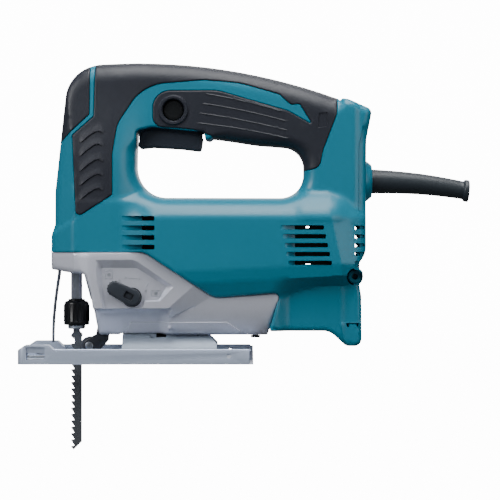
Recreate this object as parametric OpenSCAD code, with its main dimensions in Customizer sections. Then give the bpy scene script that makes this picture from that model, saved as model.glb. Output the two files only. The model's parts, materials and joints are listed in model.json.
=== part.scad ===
// Corded top-handle jigsaw with orbital action and a tilting base.
// Millimetres. Origin: centre of the sole's underside. +Z up, -X cutting direction, -Y the left side.

/* [Housing] */
// Half-width of the handle and the rear column
handle_half_w = 18; // [17:0.5:19]
// Half-width of the front column
front_half_w = 26; // [25:0.5:27]
// Outer radius of the motor barrel
barrel_r = 33; // [32:0.5:34]
// Wall thickness of the moulded shells
wall = 3.2; // [2.6:0.1:3.4]
// Thickness of the elastomer skin
skin = 1.6; // [1.2:0.1:1.8]
// Diameter of the dust port at the rear
dust_d = 16; // [15:0.5:16.5]

/* [Motor] */
// Height of the motor axis above the sole
motor_z = 77; // [76:0.5:78]
// Outer radius of the stator core
stator_r = 25.5; // [24:0.5:25.5]
// Radius of the rotor core
rotor_r = 16.5; // [15:0.5:17]
// Radius of the cooling fan
fan_r = 24; // [20:0.5:25]

/* [Drive] */
// Teeth on the motor pinion
pinion_teeth = 9; // [9:1:9]
// Teeth on the crank gear
gear_teeth = 44; // [44:1:44]
// Length of the blade stroke
stroke = 23; // [18:1:23]
// Distance of the rod axis in front of the origin
rod_x = 42; // [41.5:0.5:42.5]
// Width across the square drive rod
rod_w = 7.4; // [7:0.1:7.6]
// Radial running clearance of shafts, bushes and buttons
run = 0.05; // [0.02:0.01:0.09]

/* [Blade] */
// Overall length of the T-shank blade
blade_len = 100; // [75:5:100]
// Blade thickness
blade_t = 1.5; // [1:0.1:1.7]
// Distance from one tooth to the next
tooth_pitch = 4.2; // [2:0.1:5]
// Radius of the guide roller
roller_r = 6.2; // [5.8:0.1:6.4]

/* [Base] */
// Length of the sole
base_l = 156.4; // [150:1:160]
// Width of the sole
base_w = 77; // [76:0.5:77]
// Thickness of the sole plate
sole_t = 3; // [2.5:0.1:3.2]
// Height of the side rims
rim_h = 8.6; // [8:0.1:9]
// Outer radius of the tilting arch
arch_r = 22; // [21.5:0.1:22]
// How far the base slides back
slide_len = 10; // [5:1:10]

/* [Controls] */
// Radius of the lock button
lock_r = 7; // [6:0.1:7.2]
// Radius of the speed dial
dial_r = 11; // [10.5:0.1:11]

/* [Cord exit] */
// Radius of the cord hole through the guard
cord_hole_r = 3.7; // [3.4:0.1:3.9]
// Length of the flexible cord guard
guard_len = 70; // [60:1:72]
// Droop angle of the cord guard in degrees
guard_droop = 4.7; // [4:0.1:5]

/* [Hidden] */
$fn = 64;
gap = 0.3;
crank_r = stroke / 2;
gear_module = 1;
gear_z = motor_z + gear_module * (pinion_teeth + gear_teeth) / 2;
pinion_pitch_r = gear_module * pinion_teeth / 2;
gear_pitch_r = gear_module * gear_teeth / 2;
rest_crank_angle = -28.6;
yoke_z = gear_z + crank_r * sin(rest_crank_angle);
split_z = 74.4;
knob_x = -3;
knob_z = 44.5;
lock_x = 24.4;
lock_z = 169.7;
dial_x = 146;
dial_z = 163.9;
trigger_pivot = [4.5, 159.5];
lever_pivot = [-22, 27];
roller_c = [-33, 10.9];
clamp_x = 16;
arch_x0 = -10;
arch_x1 = 53.7;
// Where the bracket is riveted to the sole, as x and y
RIVET_X = [-4, 42];
RIVET_Y = [-26, 26];
lock_ring_r = 10.3;
socket_x = -53.6;
socket_y = 5;
cord_exit = [158.5, 0, 122.4];
dust_z = 31;
dust_wall = 1.4;
sole_screw_x = 79.6;
screw_r = 2;
// Where the housing screws stand, as [x, z]
SCREWS = [[-50.5, 100], [-36, 178], [2, 107.5], [121, 113], [66, 169], [146.4, 58]];
// Centre heights of the front and rear vent slots
FRONT_VENTS = [for (i = [0:3]) 77.7 + 6.4 * i];
REAR_VENTS = [for (i = [0:4]) 67.2 + 5.9 * i];

// ---- outline helpers ----
// An outline is a clockwise list of corners [x, z, r]; each corner is rounded by its radius r.
function unit(v) = v / norm(v);
function right_of(v) = [v[1], -v[0]];
function cross2(a, b) = a[0] * b[1] - a[1] * b[0];
function at(c, i) = [c[i][0], c[i][1]];
function corner_arc(p, q, s, r) =
    let (a = unit(p - q), b = unit(s - q), half = acos(max(-1, min(1, a * b))) / 2)
    r <= 0 || half > 89.5 ? [q] :
    let (reach = min(r / tan(half), 0.48 * min(norm(p - q), norm(s - q))), rad = reach * tan(half),
         c = q + unit(a + b) * rad / sin(half), u = q + a * reach - c, w = q + b * reach - c,
         steps = max(2, ceil((180 - 2 * half) / 11)))
    [for (k = [0:steps]) let (f = k / steps, turn = 180 - 2 * half, m = u * sin((1 - f) * turn) + w * sin(f * turn))
        c + unit(m) * rad];
function rounded(c) = let (n = len(c))
    [for (i = [0:n - 1]) each corner_arc(at(c, (i + n - 1) % n), at(c, i), at(c, (i + 1) % n), c[i][2])];
// The same outline moved inwards by t (outwards when t is negative)
function inset(c, t) = let (n = len(c))
    [for (i = [0:n - 1])
        let (d1 = unit(at(c, i) - at(c, (i + n - 1) % n)), d2 = unit(at(c, (i + 1) % n) - at(c, i)),
             n1 = right_of(d1), n2 = right_of(d2), q = at(c, i) + t * (n1 + n2) / (1 + n1 * n2),
             r = c[i][2] == 0 ? 0 : max(0, c[i][2] + (cross2(d1, d2) < 0 ? -t : t)))
        [q[0], q[1], r]];

// A side outline in X and Z, extruded from y0 to y1
module side(y0, y1) { translate([0, y1, 0]) rotate([90, 0, 0]) linear_extrude(y1 - y0) children(); }
// A section in Y and Z, extruded from x0 to x1
module section(x0, x1) { translate([x0, 0, 0]) rotate([90, 0, 90]) linear_extrude(x1 - x0) children(); }
module rod_along_x(r, x0, x1, z, y = 0) { translate([x0, y, z]) rotate([0, 90, 0]) cylinder(r = r, h = x1 - x0); }
module rod_along_y(r, y0, y1, x, z) { translate([x, y1, z]) rotate([90, 0, 0]) cylinder(r = r, h = y1 - y0); }
module block(x0, x1, y0, y1, z0, z1) { translate([x0, y0, z0]) cube([x1 - x0, y1 - y0, z1 - z0]); }
module tube_x(r, hole, x0, x1, z) {
    difference() { rod_along_x(r, x0, x1, z); rod_along_x(hole, x0 - 1, x1 + 1, z); }
}
module both_sides() { children(); mirror([0, 1, 0]) children(); }
// s is -1 for the left half and 1 for the right half
module half(s) {
    intersection() { children(); block(-80, 180, min(0, s * 60), max(0, s * 60), 0, 230); }
}
// Helical compression spring along +Z, from the origin
module coil_spring(r, wire, h, turns) {
    sides = 5;
    steps = 10;
    n = ceil(turns * steps);
    rings = [for (i = [0:n]) let (a = 360 * i / steps, z = wire + (h - 2 * wire) * i / n)
        [for (k = [0:sides - 1]) let (b = 360 * k / sides, q = r + wire * cos(b))
            [q * cos(a), q * sin(a), z + wire * sin(b)]]];
    polyhedron(
        points = [for (ring = rings) each ring],
        faces = concat(
            [[for (k = [0:sides - 1]) k]],
            [[for (k = [0:sides - 1]) n * sides + sides - 1 - k]],
            [for (i = [0:n - 1]) for (k = [0:sides - 1]) let (p = i * sides + k, q = i * sides + (k + 1) % sides)
                each [[p, p + sides, q], [q, p + sides, q + sides]]]));
}

// ---- outlines ----
TOP_ARC = [for (a = [0:3.4:20.4]) [0.6 + 386.7 * sin(a), -184.4 + 386.7 * cos(a), 0]];
BODY = concat(
    [[-58.1, split_z, 0], [-58.1, 86, 5], [-55.6, 93, 5], [-55.6, 115, 40], [-45.5, 200.3, 36]],
    TOP_ARC,
    [[158.3, 170.2, 4], [154.3, 150, 20], [153.7, 74, 14], [147.6, 64.5, 2], [151.6, 61.5, 3], [151.6, 55, 3],
     [149.4, 52.5, 1], [150.8, 45, 10], [151, 11.2, 7.5], [140.5, 11.2, 5], [129.3, 21.4, 12], [88.6, 21.4, 1.5],
     [96.1, 47.2, 3], [52.1, 43.6, 12], [5, split_z, 9]]);
OPENING = [[-1.2, 111, 26], [-0.6, 156, 3], [10, 158.5, 4], [45.8, 154.6, 1], [51.5, 151.6, 3],
    [81.3, 146.8, 30], [112.5, 144.3, 14], [112, 110.7, 22]];
RUBBER = [[-27.5, 215, 0], [136.3, 215, 0], [134.2, 167, 10], [124.9, 143, 10], [122.5, 131, 6], [111, 128.5, 2],
    [100, 134, 0], [62, 142, 0], [51.2, 147, 0], [50, 155.2, 1.5], [38, 158.4, 10], [24.9, 159.6, 10],
    [10.6, 158.5, 9], [10.6, 182.8, 12], [54, 183, 30], [101.4, 169.3, 20], [117.9, 159.9, 1],
    [109.3, 173.9, 3], [103.5, 173.2, 3], [95.6, 180.4, 2], [69, 188, 60], [45, 190, 40], [4, 186.6, 30],
    [-13, 160, 25], [-16.2, 140, 20], [-16.2, 112.5, 2], [-37.5, 98.8, 2.5], [-40.5, 100.5, 1.5],
    [-42.9, 152.5, 1.5], [-28.8, 165.2, 1.5]];
NOSE_PAD = [[-80, 147, 0], [-80, 215, 0], [-31.4, 215, 0], [-31.6, 166.5, 1.5], [-45, 154, 1.5], [-52, 147, 0]];
FRONT_PLAN = [[-59.5, 11, 3], [-57, 13.5, 1], [-42, front_half_w, 2], [14, front_half_w, 0],
    [14, -front_half_w, 0], [-42, -front_half_w, 2], [-57, -13.5, 1], [-59.5, -11, 3]];
CASTING = [[-58.1, 60.4, 1], [-58.1, split_z, 0], [5, split_z, 9], [52.1, 43.6, 12], [96.1, 47.2, 3],
    [88.6, 21.4, 0], [87.6, 18.7, 0], [-26, 18.7, 1.5], [-27.4, 26, 4], [-34.5, 60.4, 1]];
CASTING_PLAN = [[-59.5, 11, 3], [-57, 13.5, 1], [-42, 26, 2], [-30, 28, 4], [100, 28, 0],
    [100, -28, 0], [-30, -28, 4], [-42, -26, 2], [-57, -13.5, 1], [-59.5, -11, 3]];
SELECTOR_RECESS = [[-23, 63.8, 1], [0.4, 63.8, 4], [20.5, 51.5, 3], [15.2, 41.8, 3], [5.9, 41.5, 1],
    [4.4, 37.1, 1], [-22.2, 37.1, 1]];

// ---- moulded housing ----
// Body of the two shells, moved inwards by t
module body_solid(t) {
    barrel = barrel_r - t;
    difference() {
        union() {
            side(-handle_half_w + t, handle_half_w - t) polygon(rounded(inset(BODY, t)));
            intersection() {
                translate([0, 0, split_z + t]) linear_extrude(150) polygon(rounded(inset(FRONT_PLAN, t)));
                side(-40, 40) intersection() {
                    polygon(rounded(inset(BODY, t)));
                    translate([-70, 60]) square([84 - t, 150]);
                }
            }
            intersection() {
                translate([0, 0, motor_z]) rotate([0, 90, 0]) rotate_extrude()
                    polygon([[0, -13 + t], [19, -13 + t], [barrel, 10 + t], [barrel, 132], [31 - t, 141 - t],
                        [24 - t, 149 - t], [0, 150 - t]]);
                side(-40, 40) polygon(rounded(inset(BODY, t)));
            }
        }
        side(-40, 40) polygon(rounded(inset(OPENING, -t)));
    }
}
module rubber_zone() { side(-50, 50) polygon(rounded(RUBBER)); }
module nose_zone() { side(-50, 50) polygon(rounded(NOSE_PAD)); }
module skin_layer() { difference() { body_solid(0); body_solid(skin); } }
// Recess of both skins in one shell; the lock button's ring stands in it
module pocket(s) {
    difference() {
        intersection() { skin_layer(); union() { rubber_zone(); nose_zone(); } }
        if (s < 0) rod_along_y(lock_ring_r, -30, 0, lock_x, lock_z);
    }
}
// Where the trigger, lock button, dial, screws and cord guard pass through the shells
module trigger_well() { block(-0.4, 46.2, -10.4, 10.4, 140, 166); }
module cord_axis() { translate(cord_exit) rotate([0, 90 + guard_droop, 0]) children(); }
module vents() {
    for (z = FRONT_VENTS) both_sides() block(-8.8, 12.3, 15, 45, z - 1.65, z + 1.65);
    for (z = REAR_VENTS) let (shift = (91 - z) * 0.22)
        both_sides() block(96.2 + shift, 125 + shift, 15, 45, z - 1.45, z + 1.45);
    for (z = REAR_VENTS) block(145.2, 148.4, -45, 45, z - 1.45, z + 1.45);
}
module shell(s) {
    head_y = 13.5;
    // half of the trigger's moulded pivot pin
    half(s) rod_along_y(1.5, -16.5, 16.5, trigger_pivot[0], trigger_pivot[1]);
    difference() {
        half(s) union() {
            difference() { body_solid(0); body_solid(wall); }
            for (p = SCREWS) intersection() {
                rod_along_y(p[0] > 140 ? 4.6 : 3.9, -24, 24, p[0], p[1]);
                body_solid(0);
            }
            // gland block round the cord guard
            difference() {
                side(-14, 14) polygon(rounded([[149, 139.7, 0], [158.5, 136.4, 4], [158.5, 110.4, 4], [149, 107, 0]]));
                cord_axis() translate([0, 0, -12]) cylinder(r = 6.5, h = 20);
            }
            if (s < 0) rod_along_y(lock_ring_r, -handle_half_w - 0.9, -handle_half_w + wall, lock_x, lock_z);
        }
        pocket(s);
        trigger_well();
        vents();
        // motor bore, gear chamber and rod passage
        rod_along_x(stator_r + 0.5, 8, 112, motor_z);
        block(-52.5, 1, -21, 21, 70, 90);
        rod_along_x(7, -10, 20, motor_z);
        for (p = SCREWS) {
            rod_along_y(screw_r, -10, 24, p[0], p[1]);
            rod_along_y(3.6, head_y, 40, p[0], p[1]);
        }
        if (s < 0) rod_along_y(lock_r + run, -30, -5, lock_x, lock_z);
        block(dial_x - dial_r - 1, dial_x + dial_r + 1, -3.1, 3.1, dial_z - dial_r - 1, dial_z + 14);
        rod_along_x(dust_d / 2 + dust_wall, 80, 160, dust_z);
        cord_axis() translate([0, 0, -20]) cylinder(r = 5.2, h = 30);
    }
}
module housing_left() { color([0.08, 0.45, 0.55]) shell(-1); }
module housing_right() { color([0.08, 0.45, 0.55]) shell(1); }
module grip(s) {
    difference() {
        half(s) intersection() { skin_layer(); rubber_zone(); }
        trigger_well();
        if (s < 0) rod_along_y(lock_ring_r, -30, 0, lock_x, lock_z);
        for (p = SCREWS) rod_along_y(3.6, 0, 40, p[0], p[1]);
    }
}
module grip_left() { color([0.2, 0.22, 0.26]) grip(-1); }
module grip_right() { color([0.2, 0.22, 0.26]) grip(1); }
module nose_pad_left() { color([0.2, 0.22, 0.26]) half(-1) intersection() { skin_layer(); nose_zone(); } }
module nose_pad_right() { color([0.2, 0.22, 0.26]) half(1) intersection() { skin_layer(); nose_zone(); } }
module housing_screws() {
    color([0.15, 0.15, 0.16]) for (p = SCREWS) difference() {
        union() {
            rod_along_y(screw_r, -10, 13.5, p[0], p[1]);
            rod_along_y(3.5, 13.5, 16, p[0], p[1]);
        }
        translate([p[0], 16.5, p[1]]) rotate([90, 0, 0]) cylinder(r = 1.6, h = 2, $fn = 6);
    }
}

// ---- cast gear housing ----
module gear_housing() {
    color([0.6, 0.62, 0.65]) difference() {
        union() {
            intersection() {
                side(-40, 40) polygon(rounded(CASTING));
                linear_extrude(90) polygon(rounded(CASTING_PLAN));
                section(-70, 110) polygon([[-9.2, 17], [-17.8, 31.5], [-20, 36.5], [-30, 36.5], [-30, 80],
                    [30, 80], [30, 36.5], [20, 36.5], [17.8, 31.5], [9.2, 17]]);
            }
            // cheek behind the rod, on the right side
            side(11, 20) polygon([[-38.8, 62], [-30, 62], [-26, 38], [-34, 42]]);
        }
        // room for the tilting arch
        rod_along_x(arch_r + 0.15, -12, 100, 0);
        // slot and pocket of the base clamp
        block(clamp_x - 3.4, clamp_x + slide_len + 3.4, -3.4, 3.4, 15, 34);
        block(clamp_x - 7.5, clamp_x + slide_len + 7.5, -6.3, 6.3, 25, 31);
        // suction channel
        rod_along_x(4.5, -40, 100, 33.6);
        // gear chamber and motor bore
        block(-26, 2, -21, 21, 40, 80);
        rod_along_x(stator_r + 0.5, 0, 112, motor_z);
        // bore of the lower rod guide and the rod
        translate([-rod_x, 0, 0]) cylinder(r = 7.5, h = 100);
        translate([-rod_x, 0, 20]) cylinder(r = 9, h = 40.4);
        // slot and pin bore of the roller lever
        block(-34, -12, -7.1, 7.1, 10, 36);
        rod_along_y(2.5, -12, 12, lever_pivot[0], lever_pivot[1]);
        // selector recess, cam bore and the wire guard's sockets
        side(-40, -24.4) polygon(rounded(SELECTOR_RECESS));
        rod_along_y(4 + run, -30, 24, knob_x, knob_z);
        both_sides() translate([socket_x, socket_y, 59]) cylinder(r = 0.75, h = 9);
        for (s = [-1, 1]) rod_along_x(2, -20, -5, 68, s * 24.2);
        // dust nozzle socket
        rod_along_x(dust_d / 2 + dust_wall, 80, 100, dust_z);
        translate([sole_screw_x, 0, 10]) cylinder(r = 2, h = 20);
    }
}
// Inner frame that carries the bearings and the upper rod guide
module gear_frame() {
    color([0.7, 0.71, 0.73]) difference() {
        union() {
            block(-12, -3, -20, 20, 60, 118);
            block(-12, -5, -20, 20, 118, 134);
            block(-50, -5, -13, 13, 128, 134);
        }
        rod_along_x(14, -10, 0, motor_z);
        rod_along_x(7, -20, 0, motor_z);
        rod_along_x(11, -11, 0, gear_z);
        rod_along_x(6.5, -20, 0, gear_z);
        translate([-rod_x, 0, 120]) cylinder(r = 7.5, h = 20);
    }
}
module gear_screws() {
    color([0.15, 0.15, 0.16]) {
        translate([sole_screw_x, 0, 16.4]) cylinder(r = 3.2, h = 1.6);
        translate([sole_screw_x, 0, 18]) cylinder(r = 2, h = 12);
    }
    color([0.5, 0.5, 0.52]) for (s = [-1, 1]) rod_along_x(2, -20, -5, 68, s * 24.2);
}

// ---- base ----
module base_plate() {
    half_l = base_l / 2;
    half_w = base_w / 2;
    color([0.62, 0.66, 0.71]) difference() {
        union() {
            linear_extrude(sole_t) polygon(rounded([[-half_l, half_w, 4], [half_l, half_w, 2], [half_l, -half_w, 2],
                [-half_l, -half_w, 4], [-half_l, -14, 3], [-20, -14, 4], [-20, 14, 4], [-half_l, 14, 3]]));
            both_sides() {
                side(half_w - 2.5, half_w) polygon([[-half_l + 4, 0.5], [-half_l + 4, rim_h], [half_l - 2, rim_h],
                    [half_l - 2, 0.5]]);
                side(27, half_w) polygon(rounded([[-half_l, 0.5, 0], [-half_l, 9.2, 1], [-half_l + 4.6, 12.4, 1.5],
                    [-60, 12.4, 2], [-54, 6, 2], [-54, 0.5, 0]]));
                // low rib beside the blade notch
                side(15.6, 17.4) polygon([[-72, 1], [-70, 4.4], [-30, 4.4], [-28, 1]]);
            }
            block(half_l - 2.5, half_l, -half_w + 2, half_w - 2, 0.5, 5);
        }
        // fence slots through both front blocks
        block(-72.3, -59.9, -50, 50, sole_t, sole_t + 4.6);
        // screw access and rivet holes
        translate([0, 0, -1]) linear_extrude(10) polygon(rounded([[clamp_x - 7, 7, 6], [clamp_x + 7, 7, 6],
            [clamp_x + 7, -7, 6], [clamp_x - 7, -7, 6]]));
        for (x = RIVET_X) for (y = RIVET_Y) translate([x, y, -1]) cylinder(r = 2, h = 10);
        // small hole in each rim
        rod_along_y(1.5, -50, 50, 62, 5.6);
    }
}
module base_bracket() {
    color([0.62, 0.68, 0.74]) difference() {
        union() {
            intersection() {
                difference() {
                    rod_along_x(arch_r, arch_x0, arch_x1, 0);
                    rod_along_x(arch_r - 2.5, -20, 60, 0);
                }
                side(-30, 30) polygon([[arch_x0, sole_t], [arch_x0, 23], [43.9, 23], [arch_x1, 12.7], [arch_x1, sole_t]]);
            }
            both_sides() block(arch_x0, arch_x1, 19.6, 31, sole_t, sole_t + 2);
        }
        // transverse slot the clamp bolt runs in while the base tilts
        rotate([0, 90, 0]) translate([0, 0, clamp_x - 3.4]) rotate([0, 0, 123]) rotate_extrude(angle = 114)
            translate([15, 0]) square([10, 6.8]);
        for (x = RIVET_X) for (y = RIVET_Y) translate([x, y, 0]) cylinder(r = 2, h = 10);
        // pry hole and notch in the sides of the arch
        both_sides() rod_along_y(2, 8, 30, 10.2, 18.2);
        both_sides() rod_along_y(1, 8, 30, 40.8, 18.6);
    }
}
module bracket_rivets() {
    color([0.6, 0.6, 0.62]) for (x = RIVET_X) for (y = RIVET_Y) translate([x, y, 0.6]) {
        cylinder(r = 2, h = sole_t + 1.4);
        translate([0, 0, sole_t + 1.4]) cylinder(r1 = 3.2, r2 = 2.2, h = 1.2);
    }
}
module clamp_saddle() {
    color([0.3, 0.3, 0.32]) difference() {
        intersection() {
            rod_along_x(arch_r - 2.6, clamp_x - 8, clamp_x + 8, 0);
            block(clamp_x - 8, clamp_x + 8, -7.5, 7.5, 15, 30);
        }
        translate([clamp_x, 0, 10]) cylinder(r = 3, h = 20);
    }
}
module clamp_bolt() {
    color([0.15, 0.15, 0.16]) difference() {
        union() {
            translate([clamp_x, 0, 10]) cylinder(r = 5, h = 5);
            translate([clamp_x, 0, 15]) cylinder(r = 3, h = 15.2);
        }
        translate([clamp_x, 0, 9]) cylinder(r = 2.5, h = 3.5, $fn = 6);
    }
}
module clamp_nut() {
    color([0.5, 0.5, 0.52]) difference() {
        block(clamp_x - 7, clamp_x + 7, -6, 6, 25.3, 30.2);
        translate([clamp_x, 0, 20]) cylinder(r = 3, h = 20);
    }
}

// ---- blade, its clamp and the guide parts ----
module wire_guard() {
    r = 0.75;
    function strand(s) = [for (f = [0:0.1:1]) [socket_x - 4.2 * sin(90 * f), s * (socket_y - 2 * f), 60 - 43 * f]];
    bottom = [for (a = [15:15:165]) [-57.8, 3 * cos(a), 17 - 3.2 * sin(a)]];
    route = concat([[socket_x, socket_y, 66]], strand(1), bottom, [for (p = [10:-1:0]) strand(-1)[p]],
        [[socket_x, -socket_y, 66]]);
    sides = 8;
    n = len(route) - 1;
    rings = [for (i = [0:n])
        let (t = unit(route[min(n, i + 1)] - route[max(0, i - 1)]), u = unit(cross(t, [1, 0.05, 0])), w = cross(t, u))
        [for (k = [0:sides - 1]) route[i] + r * (cos(45 * k) * u + sin(45 * k) * w)]];
    color([0.75, 0.76, 0.78]) polyhedron(
        points = [for (ring = rings) each ring],
        faces = concat(
            [[for (k = [0:sides - 1]) k]],
            [[for (k = [0:sides - 1]) n * sides + sides - 1 - k]],
            [for (i = [0:n - 1]) for (k = [0:sides - 1]) let (p = i * sides + k, q = i * sides + (k + 1) % sides)
                each [[p, p + sides, q], [q, p + sides, q + sides]]]));
}
module blade() {
    front = -45.5;
    back = -38.5;
    top = 38;
    tip = top - blade_len;
    teeth = floor((16 - tip - 6) / tooth_pitch);
    color([0.35, 0.38, 0.41]) side(-blade_t / 2, blade_t / 2) polygon(concat(
        [[back, 18], [back, tip + 9], [back - 3.4, tip], [front + 1, tip + 0.6]],
        [for (i = [0:teeth - 1]) let (z = tip + 5 + i * tooth_pitch) each [[front, z], [front + 1.6, z + 0.6]]],
        [[front, 17], [front, 22.2], [front - 0.8, 22.2], [front - 0.8, 24], [front + 1.2, 24], [front + 1.2, 34],
         [front - 0.8, 34], [front - 0.8, 37], [front + 1.6, top], [back - 1.4, top], [back + 0.6, 37], [back + 0.6, 34],
         [back - 1.2, 34], [back - 1.2, 22.2], [back, 21]]));
}
module blade_space() { block(-47, -37, -blade_t / 2, blade_t / 2, 10, 38); }
module blade_holder() {
    color([0.2, 0.21, 0.23]) difference() {
        translate([-rod_x, 0, 22.2]) {
            cylinder(r = 6, h = 2.7);
            translate([0, 0, 2.7]) cylinder(r = 6.6, h = 15.4);
            translate([0, 0, 18.1]) cylinder(r = 5.5, h = 2.1);
        }
        blade_space();
        translate([-rod_x, 0, 38]) linear_extrude(10) rod_section(0);
    }
}
module sleeve_spring() {
    color([0.7, 0.7, 0.72]) translate([-rod_x, 0, 26]) coil_spring(7.3, 0.4, 12, 6);
}
module clamp_sleeve() {
    color([0.06, 0.07, 0.09]) translate([-rod_x, 0, 24.9]) difference() {
        union() {
            cylinder(r = 8.7, h = 2.2);
            translate([0, 0, 2.2]) cylinder(r = 8.4, h = 12.6);
            translate([0, 0, 14.8]) cylinder(r1 = 8.4, r2 = 7.2, h = 1.7);
            for (k = [0:17]) rotate([0, 0, 20 * k]) translate([7.6, -0.6, 2.2]) cube([1.1, 1.2, 12]);
        }
        translate([0, 0, -1]) cylinder(r = 6.6 + run, h = 30);
        translate([0, 0, 0.8]) cylinder(r = 7.75, h = 13.4);
    }
}
module rod_section(grow) {
    w = rod_w / 2 + grow;
    c = 1.3;
    polygon([[-w, -w + c], [-w, w - c], [-w + c, w], [w - c, w], [w, w - c], [w, -w + c], [w - c, -w], [-w + c, -w]]);
}
module drive_rod() {
    color([0.45, 0.48, 0.53]) translate([-rod_x, 0, 38.1]) linear_extrude(108) rod_section(0);
}
module yoke() {
    color([0.5, 0.5, 0.52]) difference() {
        block(-rod_x + rod_w / 2, -28, -20, 20, yoke_z - 8.5, yoke_z + 8.5);
        block(-36, -20, -crank_r - 5.3, crank_r + 5.3, yoke_z - 5.1, yoke_z + 5.1);
    }
}
module guide_bush(z0, z1) {
    translate([-rod_x, 0, z0]) difference() {
        cylinder(r = 7.5, h = z1 - z0);
        translate([0, 0, -1]) linear_extrude(z1 - z0 + 2) rod_section(run);
    }
}
module upper_guide() { color([0.72, 0.55, 0.25]) guide_bush(126.5, 137); }
module lower_guide() { color([0.72, 0.55, 0.25]) guide_bush(63.2, 74.4); }
module rod_seal() { color([0.1, 0.1, 0.1]) guide_bush(60.8, 63.2); }
module counterweight() {
    color([0.45, 0.46, 0.48]) difference() {
        block(-27.4, -22.4, -22.4, 22.4, 82, 125.5);
        rod_along_x(crank_r + 3.3, -30, -20, gear_z - 1.5);
        rod_along_x(crank_r + 3.3, -30, -20, gear_z + 4.3);
        block(-30, -20, -crank_r - 3.3, crank_r + 3.3, gear_z - 1.5, gear_z + 4.3);
    }
}

// ---- orbital action ----
LEVER = [[-29.8, 18.2, 3], [-20.4, 18.7, 3], [-20.3, 14.6, 2], [-25.2, 8.6, 3], [-29.5, 7.2, 2], [-36.8, 7.2, 3.7],
    [-36.8, 14.2, 3.7]];
module roller_lever() {
    color([0.12, 0.13, 0.16]) difference() {
        union() {
            side(-6.8, 6.8) polygon(rounded(LEVER));
            side(-6.8, 6.8) polygon(rounded([[-29, 16, 1], [-26, 31, 4], [-18, 31, 4], [-20.4, 16, 1]]));
        }
        // gap of the fork, and the bores of both pins
        rod_along_y(roller_r + 0.8, -4.4, 4.4, roller_c[0], roller_c[1]);
        block(-45, roller_c[0], -4.4, 4.4, 0, 20);
        rod_along_y(2 + run, -10, 10, roller_c[0], roller_c[1]);
        rod_along_y(2.5 + run, -10, 10, lever_pivot[0], lever_pivot[1]);
    }
}
module blade_roller() {
    groove_r = roller_r - 0.8;
    color([0.22, 0.23, 0.26]) translate([roller_c[0], 0, roller_c[1]]) rotate([90, 0, 0]) rotate_extrude()
        polygon([[2 + run, -4.2], [roller_r - 0.4, -4.2], [roller_r, -3.8], [roller_r, -1.2], [groove_r, -0.9], [groove_r, 0.9],
            [roller_r, 1.2], [roller_r, 3.8], [roller_r - 0.4, 4.2], [2 + run, 4.2]]);
}
module roller_pin() {
    color([0.5, 0.5, 0.52]) {
        rod_along_y(2, -6.9, 6.9, roller_c[0], roller_c[1]);
        both_sides() rod_along_y(3, 6.8, 7.1, roller_c[0], roller_c[1]);
    }
}
module lever_pin() { color([0.5, 0.5, 0.52]) rod_along_y(2.5, -12, 12, lever_pivot[0], lever_pivot[1]); }
module orbit_knob() {
    pill_r = 5.9;
    color([0.18, 0.21, 0.24]) difference() {
        union() {
            rod_along_y(7, -28.6, -24.7, knob_x, knob_z);
            translate([knob_x, 0, knob_z]) rotate([0, 26, 0]) side(-29.2, -24.7)
                polygon(rounded([[-11.2 - pill_r, pill_r, pill_r], [pill_r, pill_r, pill_r],
                    [pill_r, -pill_r, pill_r], [-11.2 - pill_r, -pill_r, pill_r]]));
        }
        translate([knob_x, 0, knob_z]) rotate([0, 26, 0]) block(-5.5, 4.5, -35, -27.6, -3, 3);
        rod_along_y(2.5, -26.5, -20, knob_x, knob_z);
    }
}
module orbit_cam() {
    color([0.5, 0.5, 0.52]) difference() {
        union() {
            rod_along_y(4, -24.7, 23.9, knob_x, knob_z);
            rod_along_y(2.5, -26.5, -24.7, knob_x, knob_z);
        }
        translate([knob_x, 0, knob_z]) block(1, 10, -7, 7, -10, 10);
    }
}

// ---- gears and motor ----
function inv(a) = tan(a) * 180 / PI - a;
function flank(r, teeth, thin) = let (pitch_r = gear_module * teeth / 2, base_r = pitch_r * cos(20))
    90 / teeth - thin / pitch_r * 90 / PI + inv(20) - (r <= base_r ? 0 : inv(acos(base_r / r)));
function gear_outline(teeth, root_r, tip_r, thin) =
    let (base_r = max(root_r + 0.05, gear_module * teeth / 2 * cos(20)), mid = (base_r + tip_r) / 2,
         radii = [root_r, base_r, mid, tip_r])
    [for (i = [0:teeth - 1]) let (a = 360 * i / teeth) each concat(
        [for (r = radii) let (b = a - flank(r, teeth, thin)) [r * cos(b), r * sin(b)]],
        [for (k = [3:-1:0]) let (r = radii[k], b = a + flank(r, teeth, thin)) [r * cos(b), r * sin(b)]])];
module crank_gear() {
    gear_root = gear_pitch_r - 1.25;
    gear_tip = gear_pitch_r + 0.55;
    color([0.5, 0.5, 0.52]) {
        section(-22, -14) translate([0, gear_z]) rotate(-90 + 180 / gear_teeth)
            polygon(gear_outline(gear_teeth, gear_root, gear_tip, 0.16));
        rod_along_x(5, -14, -3, gear_z);
        rod_along_x(3, -27.7, -22, gear_z + crank_r * sin(rest_crank_angle), crank_r * cos(rest_crank_angle));
    }
}
module drive_roller() {
    color([0.75, 0.75, 0.77]) difference() {
        rod_along_x(5, -35.8, -28, yoke_z, crank_r * cos(rest_crank_angle));
        rod_along_x(3 + run, -34, -20, yoke_z, crank_r * cos(rest_crank_angle));
    }
}
module gear_bearing() { color([0.75, 0.75, 0.77]) tube_x(11, 5 + run, -11, -3, gear_z); }
module motor_shaft() {
    pinion_root = pinion_pitch_r - 0.95;
    pinion_tip = pinion_pitch_r + 0.95;
    color([0.6, 0.6, 0.63]) {
        section(-22.2, -13.5) translate([0, motor_z]) rotate(90)
            polygon(gear_outline(pinion_teeth, pinion_root, pinion_tip, 0.16));
        rod_along_x(6, -13.5, 13, motor_z);
        rod_along_x(5, 13, 116, motor_z);
        rod_along_x(4, 116, 125, motor_z);
    }
}
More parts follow.
